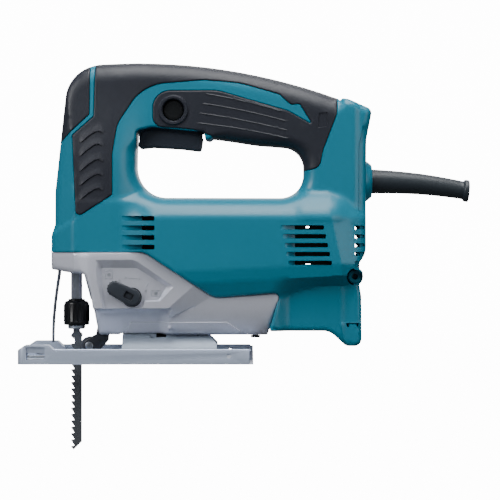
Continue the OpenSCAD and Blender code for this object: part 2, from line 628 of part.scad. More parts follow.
module rotor_core() {
    color([0.35, 0.36, 0.38]) difference() {
        tube_x(rotor_r, 5, 36, 80, motor_z);
        for (k = [0:11]) translate([0, 0, motor_z]) rotate([30 * k, 0, 0]) block(35, 81, -1.3, 1.3, 9.5, 20);
    }
}
module rotor_windings() {
    color([0.7, 0.35, 0.15]) {
        tube_x(14.5, 5, 80, 87.5, motor_z);
        tube_x(14.5, 5, 30, 36, motor_z);
        for (k = [0:11]) translate([0, 0, motor_z]) rotate([30 * k, 0, 0]) block(36, 80, -1.1, 1.1, 9.7, 15.6);
    }
}
module commutator() {
    color([0.75, 0.45, 0.2]) difference() {
        tube_x(11, 5, 92, 106, motor_z);
        for (k = [0:23]) translate([0, 0, motor_z]) rotate([15 * k, 0, 0]) block(91, 107, -0.2, 0.2, 10.3, 12);
    }
}
module fan() {
    color([0.15, 0.15, 0.16]) difference() {
        union() {
            rod_along_x(7.5, 13, 27, motor_z);
            rod_along_x(fan_r, 25, 27, motor_z);
            for (k = [0:10]) translate([0, 0, motor_z]) rotate([360 / 11 * k, 0, 0]) block(15, 25.5, -0.8, 0.8, 7, fan_r - 0.6);
        }
        rod_along_x(5, 10, 30, motor_z);
    }
}
module pole_gap(grow) {
    for (a = [0, 180]) translate([0, 0, motor_z]) rotate([a, 0, 0]) intersection() {
        tube_x(22 + grow, rotor_r + 1, 31, 85, 0);
        block(30, 86, -17, 17, 0, 24 + grow);
    }
}
module stator_core() {
    color([0.4, 0.41, 0.43]) difference() {
        tube_x(stator_r, rotor_r + 0.7, 36, 80, motor_z);
        pole_gap(0.2);
    }
}
module field_coils() { color([0.7, 0.35, 0.15]) pole_gap(0); }
module front_bearing() { color([0.75, 0.75, 0.77]) tube_x(14, 6 + run, -10, -3, motor_z); }
module rear_bearing() { color([0.75, 0.75, 0.77]) tube_x(11, 4 + run, 117.5, 124.5, motor_z); }
module baffle_plate() { color([0.15, 0.15, 0.16]) tube_x(stator_r + 0.4, 16, 28.6, 30.4, motor_z); }
module brush_holders() {
    color([0.7, 0.55, 0.25]) both_sides() difference() {
        block(94, 104, 12.5, 27, motor_z - 5, motor_z + 5);
        block(95.5, 102.5, 10, 30, motor_z - 3.5, motor_z + 3.5);
    }
}
module carbon_brushes() {
    color([0.12, 0.12, 0.12]) both_sides() block(95.8, 102.2, 11.3, 20, motor_z - 3.2, motor_z + 3.2);
}
module brush_springs() {
    color([0.7, 0.7, 0.72]) both_sides() translate([99, 20.1, motor_z]) rotate([-90, 0, 0]) coil_spring(2.4, 0.3, 7.2, 5);
}

// ---- controls ----
module switch_body() {
    color([0.13, 0.13, 0.14]) {
        block(13, 50, -4.8, 11, 163.2, 180);
        block(28, 34, -3, 3, 180, 183);
    }
}
module trigger() {
    color([0.13, 0.16, 0.18]) difference() {
        union() {
            side(-10, 10) polygon(rounded([[-0.2, 144.2, 2], [1.4, 161.5, 1], [10, 161, 2], [44.3, 157.4, 1],
                [42.9, 142.6, 2], [30, 144.2, 12], [10, 145.4, 10]]));
            side(-3, 3) polygon(rounded([[1, 154, 0], [1, 163, 3.5], [8, 163, 3.5], [10, 154, 0]]));
        }
        rod_along_y(1.5 + run, -20, 20, trigger_pivot[0], trigger_pivot[1]);
        translate([30, 0, 154]) cylinder(r = 4, h = 10);
    }
}
module trigger_spring() { color([0.7, 0.7, 0.72]) translate([30, 0, 154.1]) coil_spring(2.8, 0.4, 8.9, 4); }
module lock_button() {
    color([0.07, 0.08, 0.09]) difference() {
        rod_along_y(lock_r, -17.6, -9, lock_x, lock_z);
        rod_along_y(4.5, -12, 0, lock_x, lock_z);
    }
}
module lock_spring() {
    color([0.7, 0.7, 0.72]) translate([lock_x, -4.9, lock_z]) rotate([90, 0, 0]) coil_spring(3.4, 0.35, 7, 3);
}
module speed_dial() {
    color([0.16, 0.17, 0.18]) difference() {
        union() {
            rod_along_y(dial_r - 0.5, -2.5, 2.5, dial_x, dial_z);
            for (k = [0:29]) translate([dial_x, 0, dial_z]) rotate([0, 12 * k, 0]) block(dial_r - 1.5, dial_r, -2.5, 2.5, -0.5, 0.5);
        }
        rod_along_y(2 + run, -10, 10, dial_x, dial_z);
    }
}
module speed_module() {
    color([0.1, 0.25, 0.15]) {
        block(138.5, 140.5, -12, 12, 144, 151.5);
        rod_along_y(2, -6, 6, dial_x, dial_z);
        both_sides() side(3.4, 6) polygon([[138.5, 144], [138.5, 151.5], [144, 166], [148.3, 166], [148.3, 161], [142, 144]]);
    }
}
module cord_guard() {
    color([0.2, 0.24, 0.28]) cord_axis() difference() {
        union() {
            translate([0, 0, -8]) cylinder(r = 5.2, h = 8);
            translate([0, 0, -11]) cylinder(r = 6.5, h = 3);
            cylinder(r1 = 7.5, r2 = 5.6, h = guard_len - 3.5);
            translate([0, 0, guard_len - 3.5]) cylinder(r = 7.2, h = 3.5);
        }
        translate([0, 0, -20]) cylinder(r = cord_hole_r, h = guard_len + 40);
    }
}
module cord_clamp() {
    color([0.13, 0.13, 0.14]) difference() {
        block(131, 141, -11, 11, 127.5, 132);
        for (s = [-1, 1]) translate([136, s * 8, 120]) cylinder(r = 1.7, h = 20);
    }
}
module cord_clamp_screws() {
    color([0.6, 0.6, 0.62]) for (s = [-1, 1]) translate([136, s * 8, 120]) {
        cylinder(r = 1.7, h = 12);
        translate([0, 0, 12]) cylinder(r = 3, h = 1.8);
    }
}
module dust_nozzle() {
    color([0.1, 0.1, 0.11]) difference() {
        rod_along_x(dust_d / 2 + dust_wall, 91.5, 150.4, dust_z);
        rod_along_x(dust_d / 2, 100, 160, dust_z);
        rod_along_x(4.5, 90, 110, 33.6);
    }
}

housing_left();
housing_right();
grip_left();
grip_right();
nose_pad_left();
nose_pad_right();
gear_housing();
gear_frame();
housing_screws();
gear_screws();
base_plate();
base_bracket();
bracket_rivets();
clamp_saddle();
clamp_bolt();
clamp_nut();
wire_guard();
blade();
blade_holder();
clamp_sleeve();
sleeve_spring();
drive_rod();
yoke();
upper_guide();
lower_guide();
rod_seal();
counterweight();
crank_gear();
drive_roller();
gear_bearing();
roller_lever();
blade_roller();
roller_pin();
lever_pin();
orbit_knob();
orbit_cam();
motor_shaft();
rotor_core();
rotor_windings();
commutator();
fan();
stator_core();
field_coils();
front_bearing();
rear_bearing();
baffle_plate();
brush_holders();
carbon_brushes();
brush_springs();
switch_body();
trigger();
trigger_spring();
lock_button();
lock_spring();
speed_dial();
speed_module();
cord_guard();
cord_clamp();
cord_clamp_screws();
dust_nozzle();
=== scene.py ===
import json
import math

import bmesh
import bpy
import numpy as np
from mathutils import Matrix, Vector, kdtree
from mathutils.geometry import delaunay_2d_cdt


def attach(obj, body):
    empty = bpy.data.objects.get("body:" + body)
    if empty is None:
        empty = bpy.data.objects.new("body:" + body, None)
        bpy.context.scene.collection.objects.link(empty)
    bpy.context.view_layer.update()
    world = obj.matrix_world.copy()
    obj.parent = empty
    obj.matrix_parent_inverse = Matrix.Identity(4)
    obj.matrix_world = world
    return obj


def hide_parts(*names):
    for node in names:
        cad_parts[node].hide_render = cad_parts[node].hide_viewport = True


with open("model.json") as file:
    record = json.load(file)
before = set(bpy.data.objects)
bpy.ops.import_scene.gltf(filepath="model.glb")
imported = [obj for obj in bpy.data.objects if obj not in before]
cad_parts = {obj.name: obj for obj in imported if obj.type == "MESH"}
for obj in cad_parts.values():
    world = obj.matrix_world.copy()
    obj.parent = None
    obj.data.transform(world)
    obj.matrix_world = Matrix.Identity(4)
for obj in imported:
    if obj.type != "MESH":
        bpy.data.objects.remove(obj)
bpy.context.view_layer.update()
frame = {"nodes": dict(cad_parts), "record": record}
MM = 0.001

# ---------------------------------------------------------------- camera, light and floor


def aim(obj, target):
    """Turns an object so that its -Z axis points at the target."""
    obj.rotation_euler = (Vector(target) - obj.location).to_track_quat("-Z", "Y").to_euler()


def studio():
    """Camera level with the tool's left side, soft lights all round and a dim pale world."""
    camera_data = bpy.data.cameras.new("camera")
    camera_data.lens = 144.6
    camera_data.sensor_width = 36.0
    camera = bpy.data.objects.new("camera", camera_data)
    camera.location = (0.0759, -1.366, 0.0758)
    camera.rotation_euler = (math.pi / 2, 0, 0)
    bpy.context.scene.collection.objects.link(camera)
    bpy.context.scene.camera = camera
    lights = [
        # name, place, target, size, watts
        ("key_light", (-0.95, -0.85, 0.7), (0.05, 0, 0.1), 0.6, 14.0),
        ("fill_light", (1.0, -0.9, 0.4), (0.08, 0, 0.08), 0.8, 4.5),
        ("shoulder_light", (0.1, -0.6, 1.0), (0.06, 0, 0.1), 0.4, 4.6),
        ("top_light", (0.15, -0.15, 1.2), (0.06, 0, 0.1), 0.8, 18.0),
        ("back_light", (0.3, 1.2, 0.7), (0.06, 0, 0.08), 1.2, 8.0),
        ("low_light", (-0.9, -0.6, 0.05), (0, 0, 0.05), 0.6, 0.5),
    ]
    for name, place, target, size, watts in lights:
        data = bpy.data.lights.new(name, "AREA")
        data.shape = "SQUARE"
        data.size = size
        data.energy = watts
        light = bpy.data.objects.new(name, data)
        light.location = place
        aim(light, target)
        bpy.context.scene.collection.objects.link(light)
    world = bpy.data.worlds.new("studio_air")
    bpy.context.scene.world = world
    world.use_nodes = True
    world.node_tree.nodes["Background"].inputs["Color"].default_value = (0.93, 0.96, 1.0, 1)
    world.node_tree.nodes["Background"].inputs["Strength"].default_value = 0.13


def sweep():
    """Seamless paper all round: a floor that curves up into a wall on every side of the tool."""
    floor_z, wall_r, turn = -0.085, 3.2, 0.6
    profile = [(wall_r - turn, floor_z)]
    profile += [(wall_r - turn + turn * math.sin(a), floor_z + turn - turn * math.cos(a))
                for a in np.radians(np.arange(7.5, 90.1, 7.5))]
    profile += [(wall_r, 3.2)]
    bm = bmesh.new()
    sides = 72
    rows = [[bm.verts.new((r * math.cos(a), r * math.sin(a), z)) for r, z in profile]
            for a in np.linspace(0, 2 * math.pi, sides, endpoint=False)]
    for i in range(sides):
        near, far = rows[i], rows[(i + 1) % sides]
        for k in range(len(profile) - 1):
            bm.faces.new((near[k], far[k], far[k + 1], near[k + 1]))
    bm.faces.new([row[0] for row in rows])
    mesh = bpy.data.meshes.new("paper_sweep")
    bm.to_mesh(mesh)
    bm.free()
    obj = bpy.data.objects.new("paper_sweep", mesh)
    bpy.context.scene.collection.objects.link(obj)
    for polygon in mesh.polygons:
        polygon.use_smooth = True
    paper = bpy.data.materials.new("white_paper")
    paper.use_nodes = True
    shader = paper.node_tree.nodes["Principled BSDF"]
    shader.inputs["Base Color"].default_value = (0.9, 0.9, 0.9, 1)
    shader.inputs["Roughness"].default_value = 0.9
    shader.inputs["Emission Color"].default_value = (1, 1, 1, 1)
    shader.inputs["Emission Strength"].default_value = 14.0
    mesh.materials.append(paper)
    obj.visible_diffuse = False
    obj.visible_glossy = False


studio()
sweep()

# ---------------------------------------------------------------- materials


def surface(name, colour, rough, metal=0.0, grain=None, bump=0.0, tint=0.06, rough_swing=0.08, coat=0.0,
            specular=0.5, stretch=(1, 1, 1), wear=0.12):
    """A procedural finish: fine grain in colour, roughness and bump, with sparse scuffs that are paler and duller.
    grain is features per metre and wear is how strongly the scuffs show."""
    mat = bpy.data.materials.new(name)
    mat.use_nodes = True
    tree = mat.node_tree
    nodes, links = tree.nodes, tree.links
    shader = nodes["Principled BSDF"]
    shader.inputs["Metallic"].default_value = metal
    shader.inputs["Coat Weight"].default_value = coat
    shader.inputs["Coat Roughness"].default_value = 0.15
    shader.inputs["Specular IOR Level"].default_value = specular
    place = nodes.new("ShaderNodeTexCoord")
    mapping = nodes.new("ShaderNodeMapping")
    mapping.inputs["Scale"].default_value = stretch
    links.new(place.outputs["Object"], mapping.inputs["Vector"])
    noise = nodes.new("ShaderNodeTexNoise")
    noise.inputs["Scale"].default_value = grain or 1500.0
    noise.inputs["Detail"].default_value = 3.0
    links.new(mapping.outputs["Vector"], noise.inputs["Vector"])
    cloud = nodes.new("ShaderNodeTexNoise")
    cloud.inputs["Scale"].default_value = 28.0
    cloud.inputs["Detail"].default_value = 4.0
    links.new(place.outputs["Object"], cloud.inputs["Vector"])
    ramp = nodes.new("ShaderNodeMix")
    ramp.data_type = "RGBA"
    dark = tuple(c * (1 - tint) for c in colour) + (1,)
    light = tuple(min(1.0, c * (1 + tint)) for c in colour) + (1,)
    ramp.inputs["A"].default_value = dark
    ramp.inputs["B"].default_value = light
    blend_by = nodes.new("ShaderNodeMath")
    blend_by.operation = "MULTIPLY_ADD"
    blend_by.inputs[1].default_value = 0.5
    links.new(noise.outputs["Fac"], blend_by.inputs[0])
    half_cloud = nodes.new("ShaderNodeMath")
    half_cloud.operation = "MULTIPLY"
    half_cloud.inputs[1].default_value = 0.5
    links.new(cloud.outputs["Fac"], half_cloud.inputs[0])
    links.new(half_cloud.outputs["Value"], blend_by.inputs[2])
    links.new(blend_by.outputs["Value"], ramp.inputs["Factor"])
    scuff = nodes.new("ShaderNodeTexNoise")
    scuff.inputs["Scale"].default_value = 160.0
    scuff.inputs["Detail"].default_value = 9.0
    scuff.inputs["Roughness"].default_value = 0.75
    scuff.inputs["Distortion"].default_value = 1.6
    links.new(place.outputs["Object"], scuff.inputs["Vector"])
    sparse = nodes.new("ShaderNodeMapRange")
    sparse.inputs["From Min"].default_value = 0.6
    sparse.inputs["From Max"].default_value = 0.74
    sparse.inputs["To Max"].default_value = wear
    links.new(scuff.outputs["Fac"], sparse.inputs["Value"])
    worn = nodes.new("ShaderNodeMix")
    worn.data_type = "RGBA"
    worn.inputs["B"].default_value = tuple(min(1.0, c * 1.5 + 0.05) for c in colour) + (1,)
    links.new(ramp.outputs["Result"], worn.inputs["A"])
    links.new(sparse.outputs["Result"], worn.inputs["Factor"])
    links.new(worn.outputs["Result"], shader.inputs["Base Color"])
    rough_map = nodes.new("ShaderNodeMapRange")
    rough_map.inputs["To Min"].default_value = max(0.02, rough - rough_swing)
    rough_map.inputs["To Max"].default_value = min(1.0, rough + rough_swing)
    links.new(blend_by.outputs["Value"], rough_map.inputs["Value"])
    duller = nodes.new("ShaderNodeMath")
    duller.operation = "ADD"
    duller.use_clamp = True
    links.new(rough_map.outputs["Result"], duller.inputs[0])
    links.new(sparse.outputs["Result"], duller.inputs[1])
    links.new(duller.outputs["Value"], shader.inputs["Roughness"])
    if bump:
        relief = nodes.new("ShaderNodeBump")
        relief.inputs["Strength"].default_value = bump
        relief.inputs["Distance"].default_value = 0.0001
        links.new(noise.outputs["Fac"], relief.inputs["Height"])
        links.new(relief.outputs["Normal"], shader.inputs["Normal"])
    return mat


teal = surface("teal_nylon", (0.008, 0.165, 0.25), 0.32, grain=2600, bump=0.25, tint=0.05, specular=0.4)
elastomer = surface("charcoal_elastomer", (0.015, 0.0175, 0.026), 0.44, grain=3200, bump=0.6, tint=0.12, specular=0.36)
casting_grey = surface("die_cast_aluminium", (0.56, 0.58, 0.66), 0.4, metal=0.4, grain=1800, bump=0.5, tint=0.13)
base_grey = surface("blasted_base_metal", (0.47, 0.54, 0.68), 0.36, metal=0.35, grain=2400, bump=0.35, tint=0.08)
bright = surface("bright_zinc", (0.52, 0.56, 0.62), 0.32, metal=0.85, grain=900, bump=0.1, stretch=(1, 8, 8))
blade_metal = surface("blade_steel", (0.15, 0.165, 0.185), 0.38, metal=0.7, grain=700, bump=0.25, stretch=(8, 8, 1))
black_oxide = surface("black_oxide", (0.012, 0.014, 0.018), 0.28, metal=0.3, grain=1500, bump=0.15)
ground = surface("ground_steel", (0.24, 0.28, 0.33), 0.3, metal=0.85, grain=900, bump=0.12, stretch=(6, 6, 1))
black_plastic = surface("black_nylon", (0.016, 0.019, 0.023), 0.42, grain=2600, bump=0.4)
guard_rubber = surface("cord_guard_rubber", (0.017, 0.023, 0.03), 0.42, grain=2600, bump=0.4, specular=0.35)
rod_steel = surface("ground_rod_steel", (0.44, 0.48, 0.56), 0.3, metal=0.8, grain=900, bump=0.12, stretch=(6, 6, 1))
wheel_grey = surface("hardened_wheel_steel", (0.11, 0.12, 0.145), 0.34, metal=0.5, grain=1200, bump=0.2)
axle_steel = surface("brushed_axle_steel", (0.16, 0.175, 0.2), 0.36, metal=0.7, grain=1100, bump=0.2)
copper_wire = surface("enamelled_copper", (0.46, 0.15, 0.05), 0.34, metal=0.8, grain=2600, bump=0.7, tint=0.25, stretch=(1, 9, 9))
core_steel = surface("laminated_core_steel", (0.2, 0.2, 0.22), 0.45, metal=0.7, grain=1600, bump=0.8, tint=0.3, stretch=(9, 1, 1))
bronze = surface("sintered_bronze", (0.36, 0.21, 0.08), 0.42, metal=0.85, grain=2800, bump=0.6, tint=0.22)
carbon = surface("pressed_carbon", (0.02, 0.02, 0.022), 0.6, grain=3200, bump=0.6, tint=0.3)
spring_steel = surface("drawn_spring_wire", (0.42, 0.43, 0.46), 0.26, metal=0.9, grain=1800, bump=0.15, tint=0.12)
seal_rubber = surface("oiled_seal_rubber", (0.012, 0.012, 0.013), 0.5, grain=2600, bump=0.5, tint=0.2)
dark_slate = surface("slate_knob_nylon", (0.028, 0.034, 0.044), 0.4, grain=2600, bump=0.4, specular=0.25)
trigger_black = surface("trigger_nylon", (0.024, 0.03, 0.042), 0.38, grain=2600, bump=0.4, specular=0.25)
# lock_black also colours the painted-shade sheets behind the air slots
lock_black = surface("lock_pin_nylon", (0.006, 0.007, 0.008), 0.35, grain=2600, bump=0.3, specular=0.25)
sleeve_black = surface("clamp_ring_nylon", (0.005, 0.006, 0.008), 0.3, grain=2000, bump=0.3, specular=0.25)
lever_black = surface("hardened_arm_oxide", (0.018, 0.021, 0.028), 0.36, metal=0.2, grain=1600, bump=0.4)
bracket_grey = surface("plated_bracket_steel", (0.27, 0.32, 0.39), 0.42, metal=0.35, grain=1800, bump=0.3)

# ---------------------------------------------------------------- outline helpers


def unit(v):
    return v / np.linalg.norm(v)


def rounded(corners, step=1.2):
    """Closed outline through corners (x, z, radius), with arcs at the corners and straights cut to steps."""
    pts = []
    n = len(corners)
    for i in range(n):
        p, q, s = (np.array(corners[(i + k) % n][:2], float) for k in (-1, 0, 1))
        r = corners[i][2]
        a, b = unit(p - q), unit(s - q)
        half = math.acos(max(-1.0, min(1.0, float(a @ b)))) / 2
        if r <= 0 or half > math.radians(89.5):
            pts.append(q)
            continue
        reach = min(r / math.tan(half), 0.48 * np.linalg.norm(p - q), 0.48 * np.linalg.norm(s - q))
        rad = reach * math.tan(half)
        centre = q + unit(a + b) * rad / math.sin(half)
        u, w = q + a * reach - centre, q + b * reach - centre
        turn = math.pi - 2 * half
        steps = max(2, math.ceil(rad * turn / min(step, 1.2)), math.ceil(turn / 0.35))
        for k in range(steps + 1):
            f = k / steps
            pts.append(centre + unit(u * math.sin((1 - f) * turn) + w * math.sin(f * turn)) * rad)
    return fine(np.array(pts), step, closed=True)


def fine(pts, step, closed=False):
    """The same line with no stretch longer than step."""
    out = []
    ends = len(pts) if closed else len(pts) - 1
    for i in range(ends):
        p, q = pts[i], pts[(i + 1) % len(pts)]
        count = max(1, math.ceil(np.linalg.norm(q - p) / step))
        out += [p + (q - p) * k / count for k in range(count)]
    if not closed:
        out.append(pts[-1])
    kept = [out[0]]
    for p in out[1:]:
        if np.linalg.norm(p - kept[-1]) > 0.02:
            kept.append(p)
    return np.array(kept)


def circle(x, z, r, count=48):
    a = np.linspace(0, 2 * math.pi, count, endpoint=False)
    return np.stack([x + r * np.cos(a), z + r * np.sin(a)], 1)


def inside(poly, pts):
    """Which points lie inside a closed outline."""
    x, z = pts[:, 0], pts[:, 1]
    hit = np.zeros(len(pts), bool)
    for p, q in zip(poly, np.roll(poly, -1, 0)):
        if p[1] == q[1]:
            continue
        crosses = (p[1] > z) != (q[1] > z)
        hit ^= crosses & (x < (q[0] - p[0]) * (z - p[1]) / (q[1] - p[1]) + p[0])
    return hit


def distance(pts, line, closed=True):
    """Distance from each point to a polyline."""
    a = line if closed else line[:-1]
    b = np.roll(line, -1, 0) if closed else line[1:]
    best = np.full(len(pts), 1e9)
    for k in range(0, len(pts), 4000):
        p = pts[k:k + 4000, None, :]
        d = b - a
        t = np.clip(((p - a) * d).sum(2) / np.maximum((d * d).sum(1), 1e-12), 0, 1)
        best[k:k + 4000] = np.sqrt((((a + t[..., None] * d) - p) ** 2).sum(2).min(1))
    return best


def smooth(a, b, x):
    t = np.clip((x - a) / (b - a), 0, 1)
    return t * t * (3 - 2 * t)


def mix(a, b, t):
    return a + (b - a) * t


def soft_max(a, b, k):
    h = np.clip(0.5 + 0.5 * (a - b) / k, 0, 1)
    return mix(b, a, h) + k * h * (1 - h)


def round_edge(d, r):
    """How far a surface has dropped at distance d from its edge, for an edge rounded by r."""
    t = np.clip(1 - d / r, 0, 1)
    return r * (1 - np.sqrt(1 - t * t))


# ---------------------------------------------------------------- triangulated plan of a moulded side


def plan(loops, lines, rows, spacing, region, extra=()):
    """Triangulates a side outline. loops and lines are kept as edges; rows are (line, closed, offsets) that ask for
    points beside a line; the rest is filled evenly at the given spacing."""
    coords, edges = [], []
    for line, closed in [(l, True) for l in loops] + [(l, False) for l in lines]:
        start, n = len(coords), len(line)
        coords += [tuple(p) for p in line]
        edges += [(start + i, start + (i + 1) % n) for i in range(n if closed else n - 1)]
    fixed = [(l, True) for l in loops] + [(l, False) for l in lines]

    def clear(pts, keep):
        near = np.full(len(pts), 1e9)
        for line, closed in fixed:
            near = np.minimum(near, distance(pts, line, closed))
        return near >= keep

    free = []
    for line, closed, offsets in rows:
        tangent = np.roll(line, -1, 0) - np.roll(line, 1, 0)
        if not closed:
            tangent[0], tangent[-1] = line[1] - line[0], line[-1] - line[-2]
        normal = np.stack([tangent[:, 1], -tangent[:, 0]], 1)
        normal /= np.maximum(np.linalg.norm(normal, axis=1), 1e-9)[:, None]
        for off in offsets:
            step = off(line) if callable(off) else np.full(len(line), off)
            pts = line + normal * step[:, None]
            free.append(pts[clear(pts, np.abs(step) * 0.9 - 0.02)])
    for pts in extra:
        free.append(pts[clear(pts, 0.15)])
    tree_pts = [p for block in free for p in block]
    kept = []
    if tree_pts:
        tree = kdtree.KDTree(len(tree_pts))
        for i, p in enumerate(tree_pts):
            tree.insert((p[0], p[1], 0), i)
        tree.balance()
        dropped = set()
        for i, p in enumerate(tree_pts):
            if i in dropped:
                continue
            kept.append(p)
            for _, j, _ in tree.find_range((p[0], p[1], 0), 0.16):
                if j > i:
                    dropped.add(j)
    lo, hi = region.min(0), region.max(0)
    grid = []
    for j, z in enumerate(np.arange(lo[1], hi[1], spacing * 0.866)):
        xs = np.arange(lo[0] + (j % 2) * spacing / 2, hi[0], spacing)
        grid.append(np.stack([xs, np.full(len(xs), z)], 1))
    grid = np.concatenate(grid)
    grid = grid[inside(region, grid)]
    grid = grid[clear(grid, spacing * 0.55)]
    if kept:
        near_tree = kdtree.KDTree(len(kept))
        for i, p in enumerate(kept):
            near_tree.insert((p[0], p[1], 0), i)
        near_tree.balance()
        grid = [p for p in grid if near_tree.find((p[0], p[1], 0))[2] > spacing * 0.6]
    coords += [tuple(p) for p in kept] + [tuple(p) for p in grid]
    verts, _, faces, _, _, _ = delaunay_2d_cdt([Vector(c) for c in coords], edges, [], 0, 1e-5, False)
    flat = np.array([(v[0], v[1]) for v in verts])
    tris = np.array([f for f in faces if len(f) == 3])
    a, b, c = flat[tris[:, 0]], flat[tris[:, 1]], flat[tris[:, 2]]
    area = (b[:, 0] - a[:, 0]) * (c[:, 1] - a[:, 1]) - (b[:, 1] - a[:, 1]) * (c[:, 0] - a[:, 0])
    tris = tris[np.abs(area) > 1e-6]
    area = area[np.abs(area) > 1e-6]
    tris[area < 0] = tris[area < 0][:, ::-1]
    return flat, tris


def new_piece(name, verts, faces, material, body, nodes=(), angle=35):
    """A finished object from vertices in millimetres, riding on a body."""
    mesh = bpy.data.meshes.new(name)
    mesh.from_pydata([tuple(v) for v in np.asarray(verts) * MM], [], [tuple(int(i) for i in f) for f in faces])
    mesh.materials.append(material)
    obj = bpy.data.objects.new(name, mesh)
    bpy.context.scene.collection.objects.link(obj)
    finish_piece(obj, body, nodes, angle)
    return obj


def select_only(obj):
    bpy.ops.object.select_all(action="DESELECT")
    obj.hide_set(False)
    obj.select_set(True)
    bpy.context.view_layer.objects.active = obj


def smooth_by_angle(obj, angle):
    select_only(obj)
    bpy.ops.object.shade_smooth_by_angle(angle=math.radians(angle))


def finish_piece(obj, body, nodes=(), angle=35):
    smooth_by_angle(obj, angle)
    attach(obj, body)
    if nodes:
        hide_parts(*nodes)


def side_skin(flat, tris, height, side, wall_loops, back=0.06):
    """Surface over chosen triangles, with a wall down to the parting plane along the wall loops.
    side is -1 for the left (seen side) and 1 for the right. Returns vertices and faces."""
    used = np.unique(tris)
    index = {int(v): i for i, v in enumerate(used)}
    pts = flat[used]
    h = height(pts)
    verts = [(x, side * y, z) for (x, z), y in zip(pts, h)]
    faces = [[index[int(i)] for i in t] for t in tris]
    count = {}
    for t in faces:
        for i in range(3):
            e = (t[i], t[(i + 1) % 3])
            count[e] = count.get(e, 0) + 1
    rim = [e for e in count if (e[1], e[0]) not in count]
    on_wall = np.zeros(len(pts), bool)
    for line in wall_loops:
        on_wall |= distance(pts, line) < 0.01
    lower = {}
    for a, b in rim:
        if on_wall[a] and on_wall[b]:
            for v in (a, b):
                if v not in lower:
                    lower[v] = len(verts)
                    verts.append((pts[v][0], side * back, pts[v][1]))
            faces.append([b, a, lower[a], lower[b]])
    if side > 0:
        faces = [f[::-1] for f in faces]
    return verts, faces


def thicken(obj, thickness):
    """Gives a moulded skin its wall, inwards."""
    select_only(obj)
    solid = obj.modifiers.new("wall", "SOLIDIFY")
    solid.thickness = thickness * MM
    solid.offset = -1
    solid.use_even_offset = False
    solid.use_rim = True
    bpy.ops.object.modifier_apply(modifier=solid.name)


# ---------------------------------------------------------------- outlines of the tool, in mm on the X-Z plane

ARC_X, ARC_Z, ARC_R = 0.6, -184.4, 386.7
TOP_ARC = [(ARC_X + ARC_R * math.sin(math.radians(a)), ARC_Z + ARC_R * math.cos(math.radians(a)), 0)
           for a in np.arange(0, 20.5, 1.7)]
BODY = ([(-58.1, 74.4, 0), (-58.1, 86, 5), (-55.6, 93, 5), (-55.6, 115, 40), (-45.5, 200.3, 36)] + TOP_ARC
        + [(136.6, 176.9, 0.4), (138.4, 178.3, 1), (142, 177.6, 3), (158.3, 170.6, 4.5), (154.3, 150, 20), (153.7, 74, 14),
           (147.6, 64.5, 2), (151.6, 61.5, 3), (151.6, 55, 3), (149.4, 52.5, 1), (150.8, 45, 10), (151, 11.2, 7.5),
           (140.5, 11.2, 5), (129.3, 21.4, 12), (88.6, 21.4, 1.5), (96.1, 47.2, 3), (52.1, 43.6, 12), (5, 74.4, 9)])
OPENING = [(-1.2, 111, 26), (-0.6, 156, 3), (10, 158.5, 4), (45.2, 155.2, 1), (45.6, 150.6, 1), (48.6, 149.6, 1.2),
           (51.2, 151.4, 1.5), (81.3, 146.8, 30), (112.5, 144.3, 14), (112, 110.7, 22)]
RUBBER = [(-27.5, 215, 0), (136.3, 215, 0), (134.2, 167, 10), (124.9, 143, 10), (122.5, 131, 6), (111, 128.5, 2),
          (100, 134, 0), (62, 142, 0), (51.2, 147, 0), (50.6, 152.3, 2), (38, 156.6, 10), (24.9, 157.9, 10),
          (10.6, 158.5, 9), (10.6, 182.8, 12), (54, 183, 30), (101.4, 169.3, 20), (117.9, 159.9, 0.6),
          (109.3, 173.9, 2), (103.5, 173.2, 3), (95.6, 180.4, 1.5), (69, 188, 60), (45, 190, 40), (4, 186.6, 30),
          (-13, 160, 25), (-16.2, 140, 20), (-16.2, 112.5, 2), (-37.5, 98.8, 2.5), (-40.5, 100.5, 1.5),
          (-42.9, 152.5, 1.5), (-28.8, 165.2, 1.5)]
NOSE_PAD = [(-80, 147, 0), (-80, 215, 0), (-31.4, 215, 0), (-31.6, 166.5, 1.5), (-45, 154, 1.5), (-52, 147, 0)]
LOCK = (24.4, 169.7)
BOSS = (146.4, 58.0)

# ---------------------------------------------------------------- moulded housing


def barrel_section(x, z):
    """Half-width of the motor barrel: a flat side, a rounded shoulder above and a slanting facet below."""
    flat_low = 61.2 + 0.048 * np.clip(x - 20, 0, 110)
    facet_top = 52.6 + 0.053 * np.clip(x - 20, 0, 120)
    facet_low = mix(43.6, 51.5, smooth(88, 128, x))
    low_width = mix(25.6, 19.6, smooth(90, 104, x))
    upper = sum(np.interp(z + dz, [98, 106, 111, 116, 122], [32, 27.4, 24.0, 18.5, 12]) for dz in (-1.2, 0, 1.2)) / 3
    t = np.clip((z - facet_low) / (facet_top - facet_low), 0, 1)
    lower = low_width + (30.4 - low_width) * t + 1.6 * np.clip((z - facet_top) / (flat_low - facet_top), 0, 1)
    return np.where(z > 80, upper, lower)


